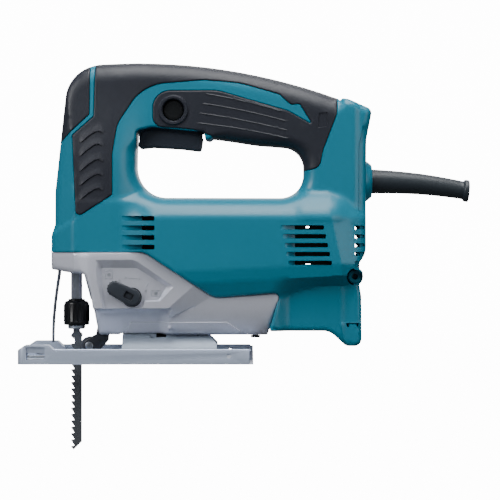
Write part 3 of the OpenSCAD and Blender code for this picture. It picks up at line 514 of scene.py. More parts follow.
def housing_side(p):
    """Half-width of the housing before its edges are rounded."""
    x, z = p[:, 0], p[:, 1]
    column = mix(26.0, 21.0, smooth(128, 195, z))
    column = mix(column, 17.6, smooth(-18, 12, x))
    column = column + 2.2 * smooth(88, 128, x) - 1.3 * smooth(146, 150, x)
    column = np.where(z < 56, np.minimum(column, 18.6), column)
    ramp = smooth(-14, 12, x)
    section = barrel_section(x, z)
    barrel = mix(np.minimum(section, 26), section, ramp)
    past = x + 0.22 * np.clip(z - 94, -28, 8)
    barrel = barrel - np.interp(past, [131, 132, 137, 143, 148, 154], [0, 0.7, 2.6, 5.4, 8.6, 12])
    barrel = np.where(x < -13, np.minimum(barrel, 26), barrel)
    shoulder = 31.5 - 0.05 * np.maximum(0, z - 97) ** 2 - 0.05 * np.maximum(0, np.abs(x - 121) - 8) ** 2
    shoulder = shoulder * smooth(88, 96, z)
    barrel = soft_max(barrel, np.where(x > 95, shoulder, 0), 3.0)
    h = soft_max(column, barrel, 2.0)
    nose = 26.0 + (x + 41.5) * 0.806
    nose = nose + 1.2 * smooth(0, 1.2, -(z - (97.2 + (x + 41.3) * 0.58)) * 1.0)
    return np.where(x < -20, np.minimum(h, nose), h)


def edge_radius(p):
    """Radius of the rounded silhouette edge of the housing."""
    x, z = p[:, 0], p[:, 1]
    r = mix(4.5, 13.0, smooth(-52, -22, x))
    r = mix(r, 5.0, smooth(130, 145, x))
    return mix(3.0, r, smooth(64, 120, z))


def opening_radius(p):
    """Radius of the rounded edge of the handle opening."""
    x, z = p[:, 0], p[:, 1]
    top = mix(1.6, 7.0, smooth(46, 62, x))
    return mix(9.0, top, smooth(141, 152, z))


def slot_outline(x0, x1, z, half, r=0.9):
    return [(x0, z + half, r), (x1, z + half, r), (x1, z - half, r), (x0, z - half, r)]


FRONT_ROWS = [96.9 - 6.4 * i for i in range(4)]
REAR_ROWS = [90.8 - 5.9 * i for i in range(5)]
SCOOPS = []    # (outline, x at the surface end, x at the deep end, depth)
HOLES = []
for z in FRONT_ROWS:
    SCOOPS.append((slot_outline(-9.5, 12.4, z, 1.65), -9.5, 4.5, 5.0))
    HOLES.append(slot_outline(3.6, 12.3, z, 1.52, 0.8))
for row, z in enumerate(REAR_ROWS):
    left = 96.2 + 1.3 * row
    right = 125.1 + 1.33 * row
    SCOOPS.append((slot_outline(left, right, z, 1.5), left, 106.5, 4.0))
    HOLES.append(slot_outline(105.8, right - 0.1, z, 1.38, 0.7))
    SCOOPS.append((slot_outline(145.6, 152.6, z, 1.4), 144.6, 145.8, 1.6))

# The corner slots go right through, so the far side's are wider
CORNER_HOLES = {side: [slot_outline(x0, x1, z, 1.25, 0.4) for z in REAR_ROWS[:4]]
                for side, x0, x1 in ((-1, 145.9, 149.4), (1, 143.4, 151.6))}

CHEVRONS = [[(-36.8, z0), (-31.8, mix(z0, z1, 0.62)), (-27.4, z1), (-25.0, z1 + 0.4), (-22.0, z1 - 1.0)]
            for z0, z1 in [(147.9, 155.0), (139.2, 146.3), (128.9, 136.0), (119.4, 126.2), (109.9, 116.6)]]
RIDGES = [[(47, 180.5), (96, 169.1)], [(45, 174), (98.7, 162.7)], [(42.8, 167.5), (100, 156.3)], [(42, 160.9), (100, 151)]]


def bowed(line, sag=0.9, count=24):
    """A shallow arc between two ends, bulging upwards."""
    (x0, z0), (x1, z1) = line
    t = np.linspace(0, 1, count)
    return np.stack([mix(x0, x1, t), mix(z0, z1, t) + 4 * sag * t * (1 - t)], 1)


CAP_CREASE = [(148.5, 97.6), (148.8, 145.5), (151.6, 160)]
LUG = [(136.0, 27.4, 1.5), (150.6, 27.4, 0.8), (150.7, 12, 4), (143.5, 9.6, 5), (138.2, 15.5, 5)]
LUG_NOTCH = [(139.8, 27.0, 0.3), (141.4, 23.6, 0.5), (143.2, 25.6, 0.4), (146.6, 25.6, 0.4), (148.4, 23.6, 0.5), (149.3, 27.0, 0.3)]


class HousingPlan:
    """One triangulated side of the housing, shared by the shell and its two elastomer skins."""

    def __init__(self, side):
        self.side = side
        self.body = rounded(BODY, 1.3)
        self.opening = rounded(OPENING, 1.3)
        self.rubber = rounded(RUBBER, 1.0)
        self.pad = rounded(NOSE_PAD, 1.0)
        x, z = self.body[:, 0], self.body[:, 1]
        low = (z < 74.5) & (x < 97) & (z > 21)
        self.mate_line = self.body[low]
        self.outer_line = self.body[~low]
        self.scoops = [(rounded(o, 1.0), a, b, d) for o, a, b, d in SCOOPS]
        self.holes = [rounded(o, 0.9) for o in HOLES + CORNER_HOLES[side]]
        self.ridges = [bowed(r) for r in RIDGES]
        self.chevrons = [fine(np.array(c), 0.8) for c in CHEVRONS]
        inner = [rounded([(x_, z_, r) for x_, z_, r in self.shrunk(o, 0.14)], 1.0) for o, _, _, _ in SCOOPS]
        self.scoop_floors = inner
        ring = [circle(*LOCK, r) for r in (7.2, 8.0, 9.4, 10.3, 10.7)] if side < 0 else []
        self.lock_hole = circle(*LOCK, 7.2)
        self.boss_well = [circle(*BOSS, 5.9, 36), circle(*BOSS, 5.7, 36), circle(*BOSS, 4.85, 36), circle(*BOSS, 4.7, 30), circle(*BOSS, 4.0, 30),
                          circle(*BOSS, 2.1, 20), circle(*BOSS, 1.95, 20)]
        self.lug = rounded(LUG, 1.0)
        self.lug_top = rounded([(136.7, 26.9, 1.5), (150.3, 26.9, 0.8), (150.2, 12.3, 4), (143.6, 10.4, 5), (138.9, 15.7, 5)], 1.0)
        self.lug_notch = rounded(LUG_NOTCH, 0.8)
        middle = self.lug_notch.mean(0)
        self.lug_notch_floor = middle + (self.lug_notch - middle) * 0.9
        self.label = rounded([(122.2, 167.6, 1), (128.4, 168.4, 1), (127.2, 158.4, 1), (121.0, 157.6, 1)], 0.8)
        label_middle = self.label.mean(0)
        self.label_floor = label_middle + (self.label - label_middle) * 0.94
        self.cap_crease = fine(np.array(CAP_CREASE), 1.1)
        creases = [self.cap_crease, self.cap_crease + np.array([0.3, 0])] + [fine(np.array(line), 1.1) for line in (
            [(-41.5, 75.0), (-41.5, 152.0)], [(-52.6, 90.7), (-41.4, 97.2)], [(12, 61.2), (20, 61.2), (130, 66.5)], [(12, 52.6), (20, 52.6), (130, 58.4)],
            [(131, 94), (137.2, 66)], [(104, 50.2), (128, 51.6), (139, 51.6)])]
        chevron_edges = [c for line in self.chevrons for c in (line, line + np.array([0.12, -0.24]))]
        loops = ([self.body, self.opening, self.rubber, self.pad] + [s[0] for s in self.scoops] + inner + self.holes + ring
                 + self.boss_well + [self.lug, self.lug_top, self.lug_notch, self.lug_notch_floor, self.label, self.label_floor])
        lines = creases + self.ridges + chevron_edges
        fractions = [1 - math.cos(math.radians(a)) for a in (18, 36, 54, 72, 90)]
        rows = [(self.body, True, [lambda l, f=f: f * edge_radius(l) + 0.02 for f in fractions]),
                (self.opening, True, [lambda l, f=f: -f * opening_radius(l) - 0.02 for f in fractions]),
                (self.rubber, True, [-1.0, -0.55, 0.4, 0.8, 1.3]),
                (self.pad, True, [-1.0, -0.55, 0.4, 0.8, 1.3])]
        rows += [(r, False, [-0.9, -0.45, 0.45, 0.9]) for r in self.ridges]
        rows += [(c, False, [-3.0, -1.2, 1.0]) for c in self.chevrons]
        self.flat, self.tris = plan(loops, lines, rows, 1.9, self.body)
        mid = self.flat[self.tris].mean(1)
        solid = inside(self.body, mid) & ~inside(self.opening, mid)
        for hole in self.holes:
            solid &= ~inside(hole, mid)
        if side < 0:
            solid &= ~inside(self.lock_hole, mid)
        self.in_rubber = solid & inside(self.rubber, mid)
        self.in_pad = solid & inside(self.pad, mid)
        self.in_shell = solid & ~self.in_rubber & ~self.in_pad

    @staticmethod
    def shrunk(box, t):
        (x0, z1, r), (x1, _, _), _, (_, z0, _) = box
        return [(x0 + t, z1 - t, r), (x1 - t, z1 - t, r), (x1 - t, z0 + t, r), (x0 + t, z0 + t, r)]

    def outer(self, p):
        """Half-width with the rounded edges, before any detail."""
        h = housing_side(p)
        h = h - round_edge(distance(p, self.outer_line, False), edge_radius(p))
        h = h - round_edge(distance(p, self.opening), opening_radius(p))
        h = h - round_edge(distance(p, self.mate_line, False), mix(0.6, 1.6, smooth(0, 8, p[:, 0])))
        return np.maximum(h, 0.5)

    def shell_height(self, p):
        h = self.outer(p)
        seam = np.minimum(distance(p, self.rubber), distance(p, self.pad))
        h = h - 0.75 * np.clip(1 - seam / 0.55, 0, 1)
        for (outline, near, far, depth), floor in zip(self.scoops, self.scoop_floors):
            low = inside(outline, p) & (distance(p, outline) > 0.07)
            h = h - np.where(low, 0.25 + depth * smooth(near, far, p[:, 0]), 0)
        raised = inside(self.lug, p)
        h = np.where(raised, h + 1.1 * np.clip(distance(p, self.lug) / 0.6, 0, 1), h)
        h = np.where(inside(self.lug_notch, p) & (distance(p, self.lug_notch) > 0.05), h - 4.5, h)
        crease_z, crease_x = np.array(CAP_CREASE)[:, 1], np.array(CAP_CREASE)[:, 0]
        beyond = np.clip((p[:, 0] - np.interp(p[:, 1], crease_z, crease_x)) / 0.28, 0, 1)
        h = h - 0.8 * beyond * smooth(97.6, 101, p[:, 1]) * (1 - smooth(156, 161, p[:, 1]))
        r = np.hypot(p[:, 0] - BOSS[0], p[:, 1] - BOSS[1])
        left = (r < 5.8) & (p[:, 0] < BOSS[0] - 1.0)
        h = np.where(left, np.minimum(h, 10.5), h)
        h = np.where(r < 4.72, np.interp(r, [4.0, 4.72], [18.2, 17.6]), h)
        return np.where(r < 2.0, 11.0, h)

    def skin_height(self, p):
        h = self.outer(p)
        seam = np.minimum(distance(p, self.rubber), distance(p, self.pad))
        h = h + 0.35 - 0.8 * (1 - np.clip(seam / 0.8, 0, 1)) ** 2
        for line in self.ridges:
            d = distance(p, line, False)
            h = h + 0.38 * np.clip(1 - d / 0.42, 0, 1)
        for line in self.chevrons:
            d = distance(p, line, False)
            below = np.interp(p[:, 0], line[:, 0], line[:, 1]) - p[:, 1]
            ends = smooth(-38.5, -35.5, p[:, 0]) * (1 - smooth(-24, -21, p[:, 0]))
            lip = np.where(below < 0.06, np.clip(1 - d / 5.5, 0, 1) ** 1.5, 0)
            h = h + ends * (0.95 * lip - 0.15 * np.clip(1 - d / 0.8, 0, 1))
        h = np.where(inside(self.label, p) & (distance(p, self.label) > 0.05), h - 0.45, h)
        if self.side < 0:
            r = np.hypot(p[:, 0] - LOCK[0], p[:, 1] - LOCK[1])
            ring = np.sqrt(np.clip(1 - ((r - 8.75) / 1.56) ** 2, 0, 1))
            h = np.where(r < 10.31, h - 0.3 + 1.5 * ring, h - 0.3 * np.clip(1 - (r - 10.3) / 1.2, 0, 1))
        return h

    def piece(self, name, chosen, height, material, node, thickness):
        verts, faces = side_skin(self.flat, self.tris[chosen], height, self.side, [self.body, self.opening])
        obj = new_piece(name, verts, faces, material, "frame", [node], 30)
        thicken(obj, thickness)
        smooth_by_angle(obj, 30)
        return obj


def housing():
    for side, word in ((-1, "left"), (1, "right")):
        h = HousingPlan(side)
        h.piece("shell_" + word, h.in_shell, h.shell_height, teal, "housing_" + word, 2.2)
        h.piece("grip_skin_" + word, h.in_rubber, h.skin_height, elastomer, "grip_" + word, 1.6)
        h.piece("nose_skin_" + word, h.in_pad, h.skin_height, elastomer, "nose_pad_" + word, 1.6)


housing()

# ---------------------------------------------------------------- pieces shaped one by one


def placed():
    """Puts the new object's place, turn and size into its mesh."""
    obj = bpy.context.object
    bpy.ops.object.transform_apply(location=True, rotation=True, scale=True)
    return obj


def cube(x0, x1, y0, y1, z0, z1):
    bpy.ops.object.select_all(action="DESELECT")
    bpy.ops.mesh.primitive_cube_add(size=1, location=((x0 + x1) / 2 * MM, (y0 + y1) / 2 * MM, (z0 + z1) / 2 * MM),
                                    scale=((x1 - x0) * MM, (y1 - y0) * MM, (z1 - z0) * MM))
    return placed()


TURNS = {"x": (0, math.pi / 2, 0), "y": (math.pi / 2, 0, 0), "z": (0, 0, 0)}


def rod(axis, r, start, end, a, b, sides=48, r_end=None):
    """Round bar along an axis. a and b are its place on the other two axes, in x, y, z order."""
    middle = (start + end) / 2
    place = {"x": (middle, a, b), "y": (a, middle, b), "z": (a, b, middle)}[axis]
    bpy.ops.object.select_all(action="DESELECT")
    bpy.ops.mesh.primitive_cone_add(vertices=sides, radius1=r * MM, radius2=(r if r_end is None else r_end) * MM,
                                    depth=abs(end - start) * MM, location=[v * MM for v in place],
                                    rotation=TURNS[axis])
    return placed()


def solid(name, verts, faces, weld=False):
    """A closed solid from vertices in millimetres, its normals turned outwards."""
    mesh = bpy.data.meshes.new(name)
    mesh.from_pydata([tuple(v) for v in np.array(verts) * MM], [], faces)
    obj = bpy.data.objects.new(name, mesh)
    bpy.context.scene.collection.objects.link(obj)
    outward(obj, weld)
    return obj


def outward(obj, weld=False):
    """Turns every face outwards, after joining points that coincide if asked."""
    select_only(obj)
    bpy.ops.object.mode_set(mode="EDIT")
    bpy.ops.mesh.select_all(action="SELECT")
    if weld:
        bpy.ops.mesh.remove_doubles(threshold=1e-6)
    bpy.ops.mesh.normals_make_consistent(inside=False)
    bpy.ops.object.mode_set(mode="OBJECT")


def flat_plate(outline, z0, z1):
    """A flat piece lying down: an outline on the X-Y plane given thickness along Z."""
    obj = slab(outline, z0, z1)
    obj.data.transform(Matrix(((1, 0, 0, 0), (0, 0, 1, 0), (0, 1, 0, 0), (0, 0, 0, 1))))
    outward(obj)
    return obj


def slab(outline, y0, y1):
    """A flat piece: an outline on the X-Z plane given thickness along Y."""
    pts = np.asarray(outline, float)
    if ((np.roll(pts[:, 0], -1) - pts[:, 0]) * (np.roll(pts[:, 1], -1) + pts[:, 1])).sum() < 0:
        pts = pts[::-1]
    n = len(pts)
    verts = [(x, y0, z) for x, z in pts] + [(x, y1, z) for x, z in pts]
    faces = [list(range(n)), list(range(2 * n - 1, n - 1, -1))]
    faces += [[(i + 1) % n, i, i + n, (i + 1) % n + n] for i in range(n)]
    return solid("slab", verts, faces)


def apply(obj, modifier):
    select_only(obj)
    bpy.ops.object.modifier_apply(modifier=modifier.name)


def bevel(obj, width, segments=2, angle=30):
    soft = obj.modifiers.new("soft_edges", "BEVEL")
    soft.width = width * MM
    soft.segments = segments
    soft.limit_method = "ANGLE"
    soft.angle_limit = math.radians(angle)
    soft.harden_normals = False
    apply(obj, soft)
    return obj


def cut(obj, *tools, operation="DIFFERENCE"):
    for tool in tools:
        change = obj.modifiers.new("cut", "BOOLEAN")
        change.operation = operation
        change.object = tool
        change.solver = "EXACT"
        apply(obj, change)
        bpy.data.objects.remove(tool)
    return obj


def fuse(obj, *others):
    return cut(obj, *others, operation="UNION")


def joined(*objs):
    """Several closed solids as one object."""
    bpy.ops.object.select_all(action="DESELECT")
    for obj in objs:
        obj.select_set(True)
    bpy.context.view_layer.objects.active = objs[0]
    bpy.ops.object.join()
    return bpy.context.object


def turned(obj, axis, degrees, pivot):
    """Turns the mesh of an object about a point in mm."""
    p = Vector(pivot) * MM
    obj.data.transform(Matrix.Translation(p) @ Matrix.Rotation(math.radians(degrees), 4, axis) @ Matrix.Translation(-p))
    return obj


def done(obj, name, material, body, slot, *nodes, angle=35):
    obj.name = name
    obj.data.name = name
    obj.data.materials.clear()
    obj.data.materials.append(material)
    finish_piece(obj, body, nodes, angle)
    return obj


def tube(route, r, sides=14):
    """A round wire along a route of points."""
    route = np.array(route, float)
    rings = []
    for i in range(len(route)):
        t = unit(route[min(len(route) - 1, i + 1)] - route[max(0, i - 1)])
        u = unit(np.cross(t, (1, 0.05, 0)))
        w = np.cross(t, u)
        rings.append([route[i] + r * (math.cos(a) * u + math.sin(a) * w)
                      for a in np.linspace(0, 2 * math.pi, sides, endpoint=False)])
    n = len(rings)
    verts = np.array(rings).reshape(-1, 3)
    faces = [[i * sides + k, i * sides + (k + 1) % sides, (i + 1) * sides + (k + 1) % sides, (i + 1) * sides + k]
             for i in range(n - 1) for k in range(sides)]
    faces += [list(range(sides))[::-1], [(n - 1) * sides + k for k in range(sides)]]
    return solid("wire", verts, faces)


def lathe(profile, axis_point, direction, sides=64):
    """A solid of revolution: profile is (distance along, radius), ends closed by radius 0."""
    d = unit(np.array(direction, float))
    u = unit(np.cross(d, (0, 1, 0.001)))
    w = np.cross(d, u)
    base = np.array(axis_point, float)
    verts, faces, rows = [], [], []
    for along, r in profile:
        if r <= 1e-6:
            rows.append([len(verts)])
            verts.append(base + d * along)
        else:
            rows.append(list(range(len(verts), len(verts) + sides)))
            verts += [base + d * along + r * (math.cos(a) * u + math.sin(a) * w)
                      for a in np.linspace(0, 2 * math.pi, sides, endpoint=False)]
    for a, b in zip(rows, rows[1:]):
        for k in range(sides):
            m = (k + 1) % sides
            if len(a) == 1:
                faces.append([a[0], b[m], b[k]])
            elif len(b) == 1:
                faces.append([a[k], a[m], b[0]])
            else:
                faces.append([a[k], a[m], b[m], b[k]])
    return solid("turned", verts, faces)


# ---------------------------------------------------------------- gear casting

CASTING = [(-58.1, 62.8, 1.2), (-58.1, 74.3, 0), (5, 74.3, 9), (52.1, 43.5, 12), (96.1, 47.1, 3), (88.6, 21.4, 1),
           (87.6, 18.7, 1), (-26, 18.7, 1.5), (-27.4, 26, 4), (-30.5, 47, 6), (-34.2, 59.6, 3), (-43.5, 60.4, 3)]
RECESS_RIM = [(-27.3, 69.1, 0.6), (-2.6, 69.3, 2), (1.0, 68.1, 3), (25.3, 51.4, 0.8), (15.7, 41.5, 0.8), (5.9, 41.2, 0.6),
              (4.4, 36.9, 0.2), (-22.3, 36.9, 0.2), (-26, 54, 6)]
RECESS_FLOOR = [(-23.5, 63.8, 0.5), (-0.1, 63.8, 3), (4.7, 61, 4), (20.1, 51.3, 0.8), (15.2, 42.6, 0.8), (5.2, 42.1, 0.6),
                (3.6, 37.05, 0.2), (-21.6, 37.05, 0.2), (-22.9, 54, 3)]
PANEL_EDGE = [(-27.6, 36.85), (21.6, 37.05), (37.6, 51.4)]
LOWER_EDGE = [(-27.6, 36.5), (21.9, 36.6), (22.1, 30.9), (49.5, 43.7)]
ARCH_PAD = [(-8.8, 19.6, 0.3), (-4.9, 27.4, 0.6), (60.5, 27.7, 0.6), (70.1, 21.3, 0.3), (69.5, 19.6, 0.3)]


class CastingPlan:
    """One side of the gear casting. The left side has the selector's recess."""

    def __init__(self, side):
        self.side = side
        self.rim = rounded(CASTING, 1.2)
        self.recess = rounded(RECESS_RIM, 0.9)
        self.floor = rounded(RECESS_FLOOR, 0.9)
        self.pad = rounded(ARCH_PAD, 1.0)
        self.pad_top = rounded([(-8.2, 20.1, 0.3), (-4.4, 26.9, 0.6), (60.3, 27.2, 0.6), (69.2, 21.4, 0.3), (69, 20.1, 0.3)], 1.0)
        lines = [fine(np.array(l, float), 0.9) for l in (
            [(-27.0, 36.95), (21.5, 37.05), (37.3, 51.3)], [(-27.0, 36.2), (20.2, 36.2)], [(22.1, 30.9), (49.3, 43.8)],
            [(-41.5, 61.8), (-41.5, 73.8)], [(-26.8, 31.4), (21, 31.4)])]
        loops = [self.rim, self.pad, self.pad_top] + ([self.recess, self.floor] if side < 0 else [])
        fractions = [1 - math.cos(math.radians(a)) for a in (22, 45, 68, 90)]
        rows = [(self.rim, True, [lambda l, f=f: f * self.edge(l) + 0.02 for f in fractions]),
                (lines[0], False, [-0.5, 0.45]), (lines[2], False, [-0.5, 0.5])]
        if side < 0:
            rows += [(self.recess, True, [0.5, -0.5]), (self.floor, True, [0.5, -0.6])]
        self.flat, self.tris = plan(loops, lines, rows, 1.8, self.rim)
        mid = self.flat[self.tris].mean(1)
        self.solid = inside(self.rim, mid)

    @staticmethod
    def edge(p):
        x, z = p[:, 0], p[:, 1]
        r = np.where(z < 36, 2.2, 1.8)
        r = np.where((x < -36) & (z < 66), 3.2, r)
        top = (z > 73.9) | ((x > 0) & (z > 40))
        return np.where(top, 0.7, r)

    def height(self, p):
        x, z = p[:, 0], p[:, 1]
        face = 26.0 + 2.0 * smooth(-42, -29, x)
        face = np.where(x < -41.5, 26 + (x + 41.5) * 0.806, face)
        side = np.interp(z, [17, 24, 31.5, 36.5], [9.2, 13.4, 17.6, 19.9])
        tube = 7.0 + 17.0 * np.sqrt(np.clip(1 - ((z - 45.5) / 30.0) ** 2, 0, 1))
        edge_x = np.array([-40, -27.6, 21.6, 37.6, 60])
        edge_z = np.array([36.9, 36.9, 37.05, 51.4, 71.5])
        over = z - np.interp(x, edge_x, edge_z)
        second = z - np.interp(x, [21.9, 22.1, 49.5, 75], [0, 30.9, 43.7, 55.6])
        right = x > 21.8
        from_top = distance(p, np.array([(21.6, 37.1), (37.6, 51.4), (60, 71.5)]), False)
        from_low = distance(p, np.array([(22.1, 30.9), (49.5, 43.7), (75, 55.6)]), False)
        facet = face - 4.2 * from_top / np.maximum(from_top + from_low, 1e-6)
        step = smooth(14, 23, x)
        lower = mix(side, tube, step)
        h = np.where(over >= 0, face, np.where((second > 0) & right, facet, lower))
        shelf = np.clip(-over / 0.85, 0, 1)
        h = np.where((over < 0) & ~right, mix(face, lower, shelf), h)
        pad = inside(self.pad, p)
        top = np.clip(distance(p, self.pad) / 0.5, 0, 1)
        h = np.where(pad, h + 0.9 * top, h)
        if self.side < 0:
            in_recess = inside(self.recess, p) | (distance(p, self.recess) < 0.01)
            in_floor = inside(self.floor, p) | (distance(p, self.floor) < 0.01)
            outer = distance(p, self.recess)
            inner = distance(p, self.floor)
            t = inner / np.maximum(outer + inner, 1e-6)
            h = np.where(in_recess, 24.4 + (face - 24.4) * np.where(in_floor, 0, t), h)
        return h

    def outer(self, p):
        h = self.height(p)
        h = h - np.minimum(round_edge(distance(p, self.rim), self.edge(p)), h - 2)
        return h

    def skin(self):
        return side_skin(self.flat, self.tris[self.solid], self.outer, self.side, [self.rim], back=0.0)


def casting():
    verts, faces = [], []
    for side in (-1, 1):
        v, f = CastingPlan(side).skin()
        faces += [[i + len(verts) for i in face] for face in f]
        verts += v
    obj = solid("casting", verts, faces, weld=True)
    cut(obj, rod("x", 22.15, -12, 100, 0, 0, 96), cube(-36, -12, -7.1, 7.1, 5, 36), rod("z", 7.5, 50, 72, -42, 0),
        cube(9, 43, -3.4, 3.4, 15, 34))
    cheek = bevel(slab([(-38.8, 62), (-30, 62), (-27, 38), (-33.4, 42)], 11, 20), 0.8)
    spigot = [cube(-50, 2, *sorted((s * 10, s * 18)), 71, 77.5) for s in (-1, 1)]
    spigot.append(cube(-57.2, -50.5, -9, 9, 71, 77.5))
    done(joined(obj, cheek, *spigot), "gear_casting", casting_grey, "frame", "cast_aluminium", "gear_housing", angle=28)
    marks = []
    for x, z in [(-11.2, 55.5), (-7.0, 57.4), (2.1, 56.4), (6.2, 48.4)]:
        marks.append(rod("y", 0.6, -24.75, -24.2, x, z, 20))
    for x0, x1, z0, z1 in [(-21.0, -15.8, 56.6, 62.2), (9.8, 16.4, 44.9, 48.9)]:
        for a, b, c, d in [(x0, x1, z1 - 0.35, z1), (x0, x1, z0, z0 + 0.35), (x0, x0 + 0.35, z0, z1), (x1 - 0.35, x1, z0, z1)]:
            marks.append(bevel(cube(a, b, -24.7, -24.2, c, d), 0.08))
        marks.append(rod("y", 1.1, -24.7, -24.2, (x0 + x1) / 2, (z0 + z1) / 2, 20))
    marks.append(bevel(cube(-5.4, 0.6, -24.65, -24.2, 56.75, 57.05), 0.08))
    marks.append(turned(bevel(cube(7.0, 7.4, -24.7, -24.2, 51.2, 54.2), 0.08), "Y", 30, (7.2, 0, 52.7)))
    done(joined(*marks), "selector_marks", bright, "frame", "cast_aluminium")


casting()

# ---------------------------------------------------------------- orbit knob, trigger and lock


def knob():
    px, pz = -3.0, 44.2
    far = (-14.2, 50.0)
    angle = math.atan2(far[1] - pz, far[0] - px)
    back = math.atan2(pz - far[1], px - far[0])
    pts = []
    for (cx, cz), r, a0 in [((px, pz), 5.8, back - math.pi / 2), (far, 5.0, back + math.pi / 2)]:
        pts += [(cx + r * math.cos(a), cz + r * math.sin(a)) for a in np.linspace(a0, a0 + math.pi, 20)]
    hull = slab(pts, -29.6, -25.0)
    bevel(hull, 1.1, 3)
    degrees = -math.degrees(math.atan2(pz - far[1], px - far[0]))
    pocket = turned(cube(-8.4, -2.0, -34, -27.6, 41.8, 46.6), "Y", degrees, (px, 0, pz))
    cut(hull, bevel(pocket, 0.5))
    floor = turned(bevel(cube(-7.4, -3.0, -28.3, -27.3, 43.0, 45.4), 0.2), "Y", degrees, (px, 0, pz))
    ribs = []
    for k in range(7):
        a = angle - 1.25 + k * 0.42
        x, z = far[0] + 4.9 * math.cos(a), far[1] + 4.9 * math.sin(a)
        ribs.append(rod("y", 0.45, -28.9, -25.2, x, z, 10))
    hub = bevel(rod("y", 6.6, -25.2, -24.5, px, pz, 48), 0.2)
    done(joined(hull, floor, hub, *ribs), "orbit_knob_cap", dark_slate, "selector", "black_plastic", "orbit_knob")


def trigger():
    outline = rounded([(-0.2, 144.2, 2), (2.2, 154, 1.5), (4.2, 156.6, 1), (14.7, 157.2, 8), (44.4, 152.7, 2),
                       (42.9, 142.6, 2), (30, 144.2, 12), (10, 145.4, 10)], 1.5)
    blade_body = slab(outline, -10, 10)
    bevel(blade_body, 2.0, 4)
    skirt = bevel(slab([(0.9, 150), (1.4, 161.5), (10, 161), (44.0, 157.4), (43.2, 148)], -9.4, 9.4), 0.4)
    done(joined(blade_body, skirt), "trigger_lever", trigger_black, "trigger", "black_plastic", "trigger")


def lock():
    button = lathe([(0, 0), (0.15, 4.4), (0, 5.6), (0.25, 6.5), (0.9, 6.9), (7.4, 6.9), (7.4, 0)],
                   (LOCK[0], -16.4, LOCK[1]), (0, 1, 0))
    done(button, "lock_pin_cap", lock_black, "lock", "black_plastic", "lock_button")


knob()
trigger()
lock()

# ---------------------------------------------------------------- blade, its clamp, rod, lever and guards


def blade():
    front, gullet, back, tip, pitch = -45.8, -43.5, -38.45, -57.9, 4.35
    pts = [(back, 16.5), (back, -54.4), (-44.0, -60.0)]
    for i in range(17):
        z = tip + i * pitch
        pts += [(front, z), (front + 0.25, z + 0.45), (gullet, z + 0.75)]
    pts += [(-43.4, 15.0), (-45.9, 17.2), (-45.7, 18.4), (-44.4, 20.0), (-44.3, 36), (-42.4, 38), (-40.6, 38),
            (-39.6, 36), (-39.6, 20.6), (-38.0, 19.0), (-37.9, 17.8)]
    obj = slab(pts, -0.6, 0.6)
    for v in obj.data.vertices:
        x, z = v.co.x / MM, v.co.z / MM
        if x < front + 0.4 and z < 14:
            k = round((z - tip) / pitch)
            v.co.y += (0.42 if k % 2 else -0.42) * MM
    done(obj, "saw_blade", blade_metal, "rod", "blade_steel", "blade", angle=20)


def clamp():
    holder = lathe([(2.75, 0), (2.75, 6.5), (18, 6.5), (18.1, 5.9), (20, 5.7), (20.4, 5.2), (20.4, 0)], (-42, 0, 22.2), (0, 0, 1))
    done(holder, "blade_socket", sleeve_black, "rod", "black_oxide", "blade_holder")
    nose = lathe([(0, 0), (0, 5.0), (0.5, 5.8), (2.2, 6.0), (2.7, 5.7), (2.7, 0)], (-42, 0, 22.2), (0, 0, 1))
    cut(nose, cube(-46.2, -37.8, -0.7, 0.7, 20, 24.2))
    done(nose, "socket_nose", bright, "rod", "bright_steel")
    body = lathe([(0, 6.65), (0, 8.0), (0.5, 8.65), (2.0, 8.75), (2.5, 8.4), (14.2, 8.4), (15.2, 8.2), (16.0, 7.5),
                  (16.4, 6.65), (0, 6.65)], (-42, 0, 24.9), (0, 0, 1), 72)
    ribs = []
    for k in range(18):
        rib = cube(-42.5, -41.5, 8.0, 8.85, 27.2, 38.8)
        bevel(rib, 0.25, 2)
        ribs.append(turned(rib, "Z", 20 * k + 10, (-42, 0, 0)))
    done(joined(body, *ribs), "clamp_ring", sleeve_black, "sleeve", "black_oxide", "clamp_sleeve")


def drive_rod():
    w, c = 3.7, 1.3
    pts = [(-w, -w + c), (-w, w - c), (-w + c, w), (w - c, w), (w, w - c), (w, -w + c), (w - c, -w), (-w + c, -w)]
    n = len(pts)
    verts = [(x - 42, y, z) for z in (38.1, 146.1) for x, y in pts]
    faces = [list(range(n)), list(range(2 * n - 1, n - 1, -1))] + [[i, (i + 1) % n, (i + 1) % n + n, i + n] for i in range(n)]
    bar = bevel(solid("drive_bar", verts, faces), 0.25, 2)
    done(bar, "drive_bar", rod_steel, "rod", "ground_steel", "drive_rod")


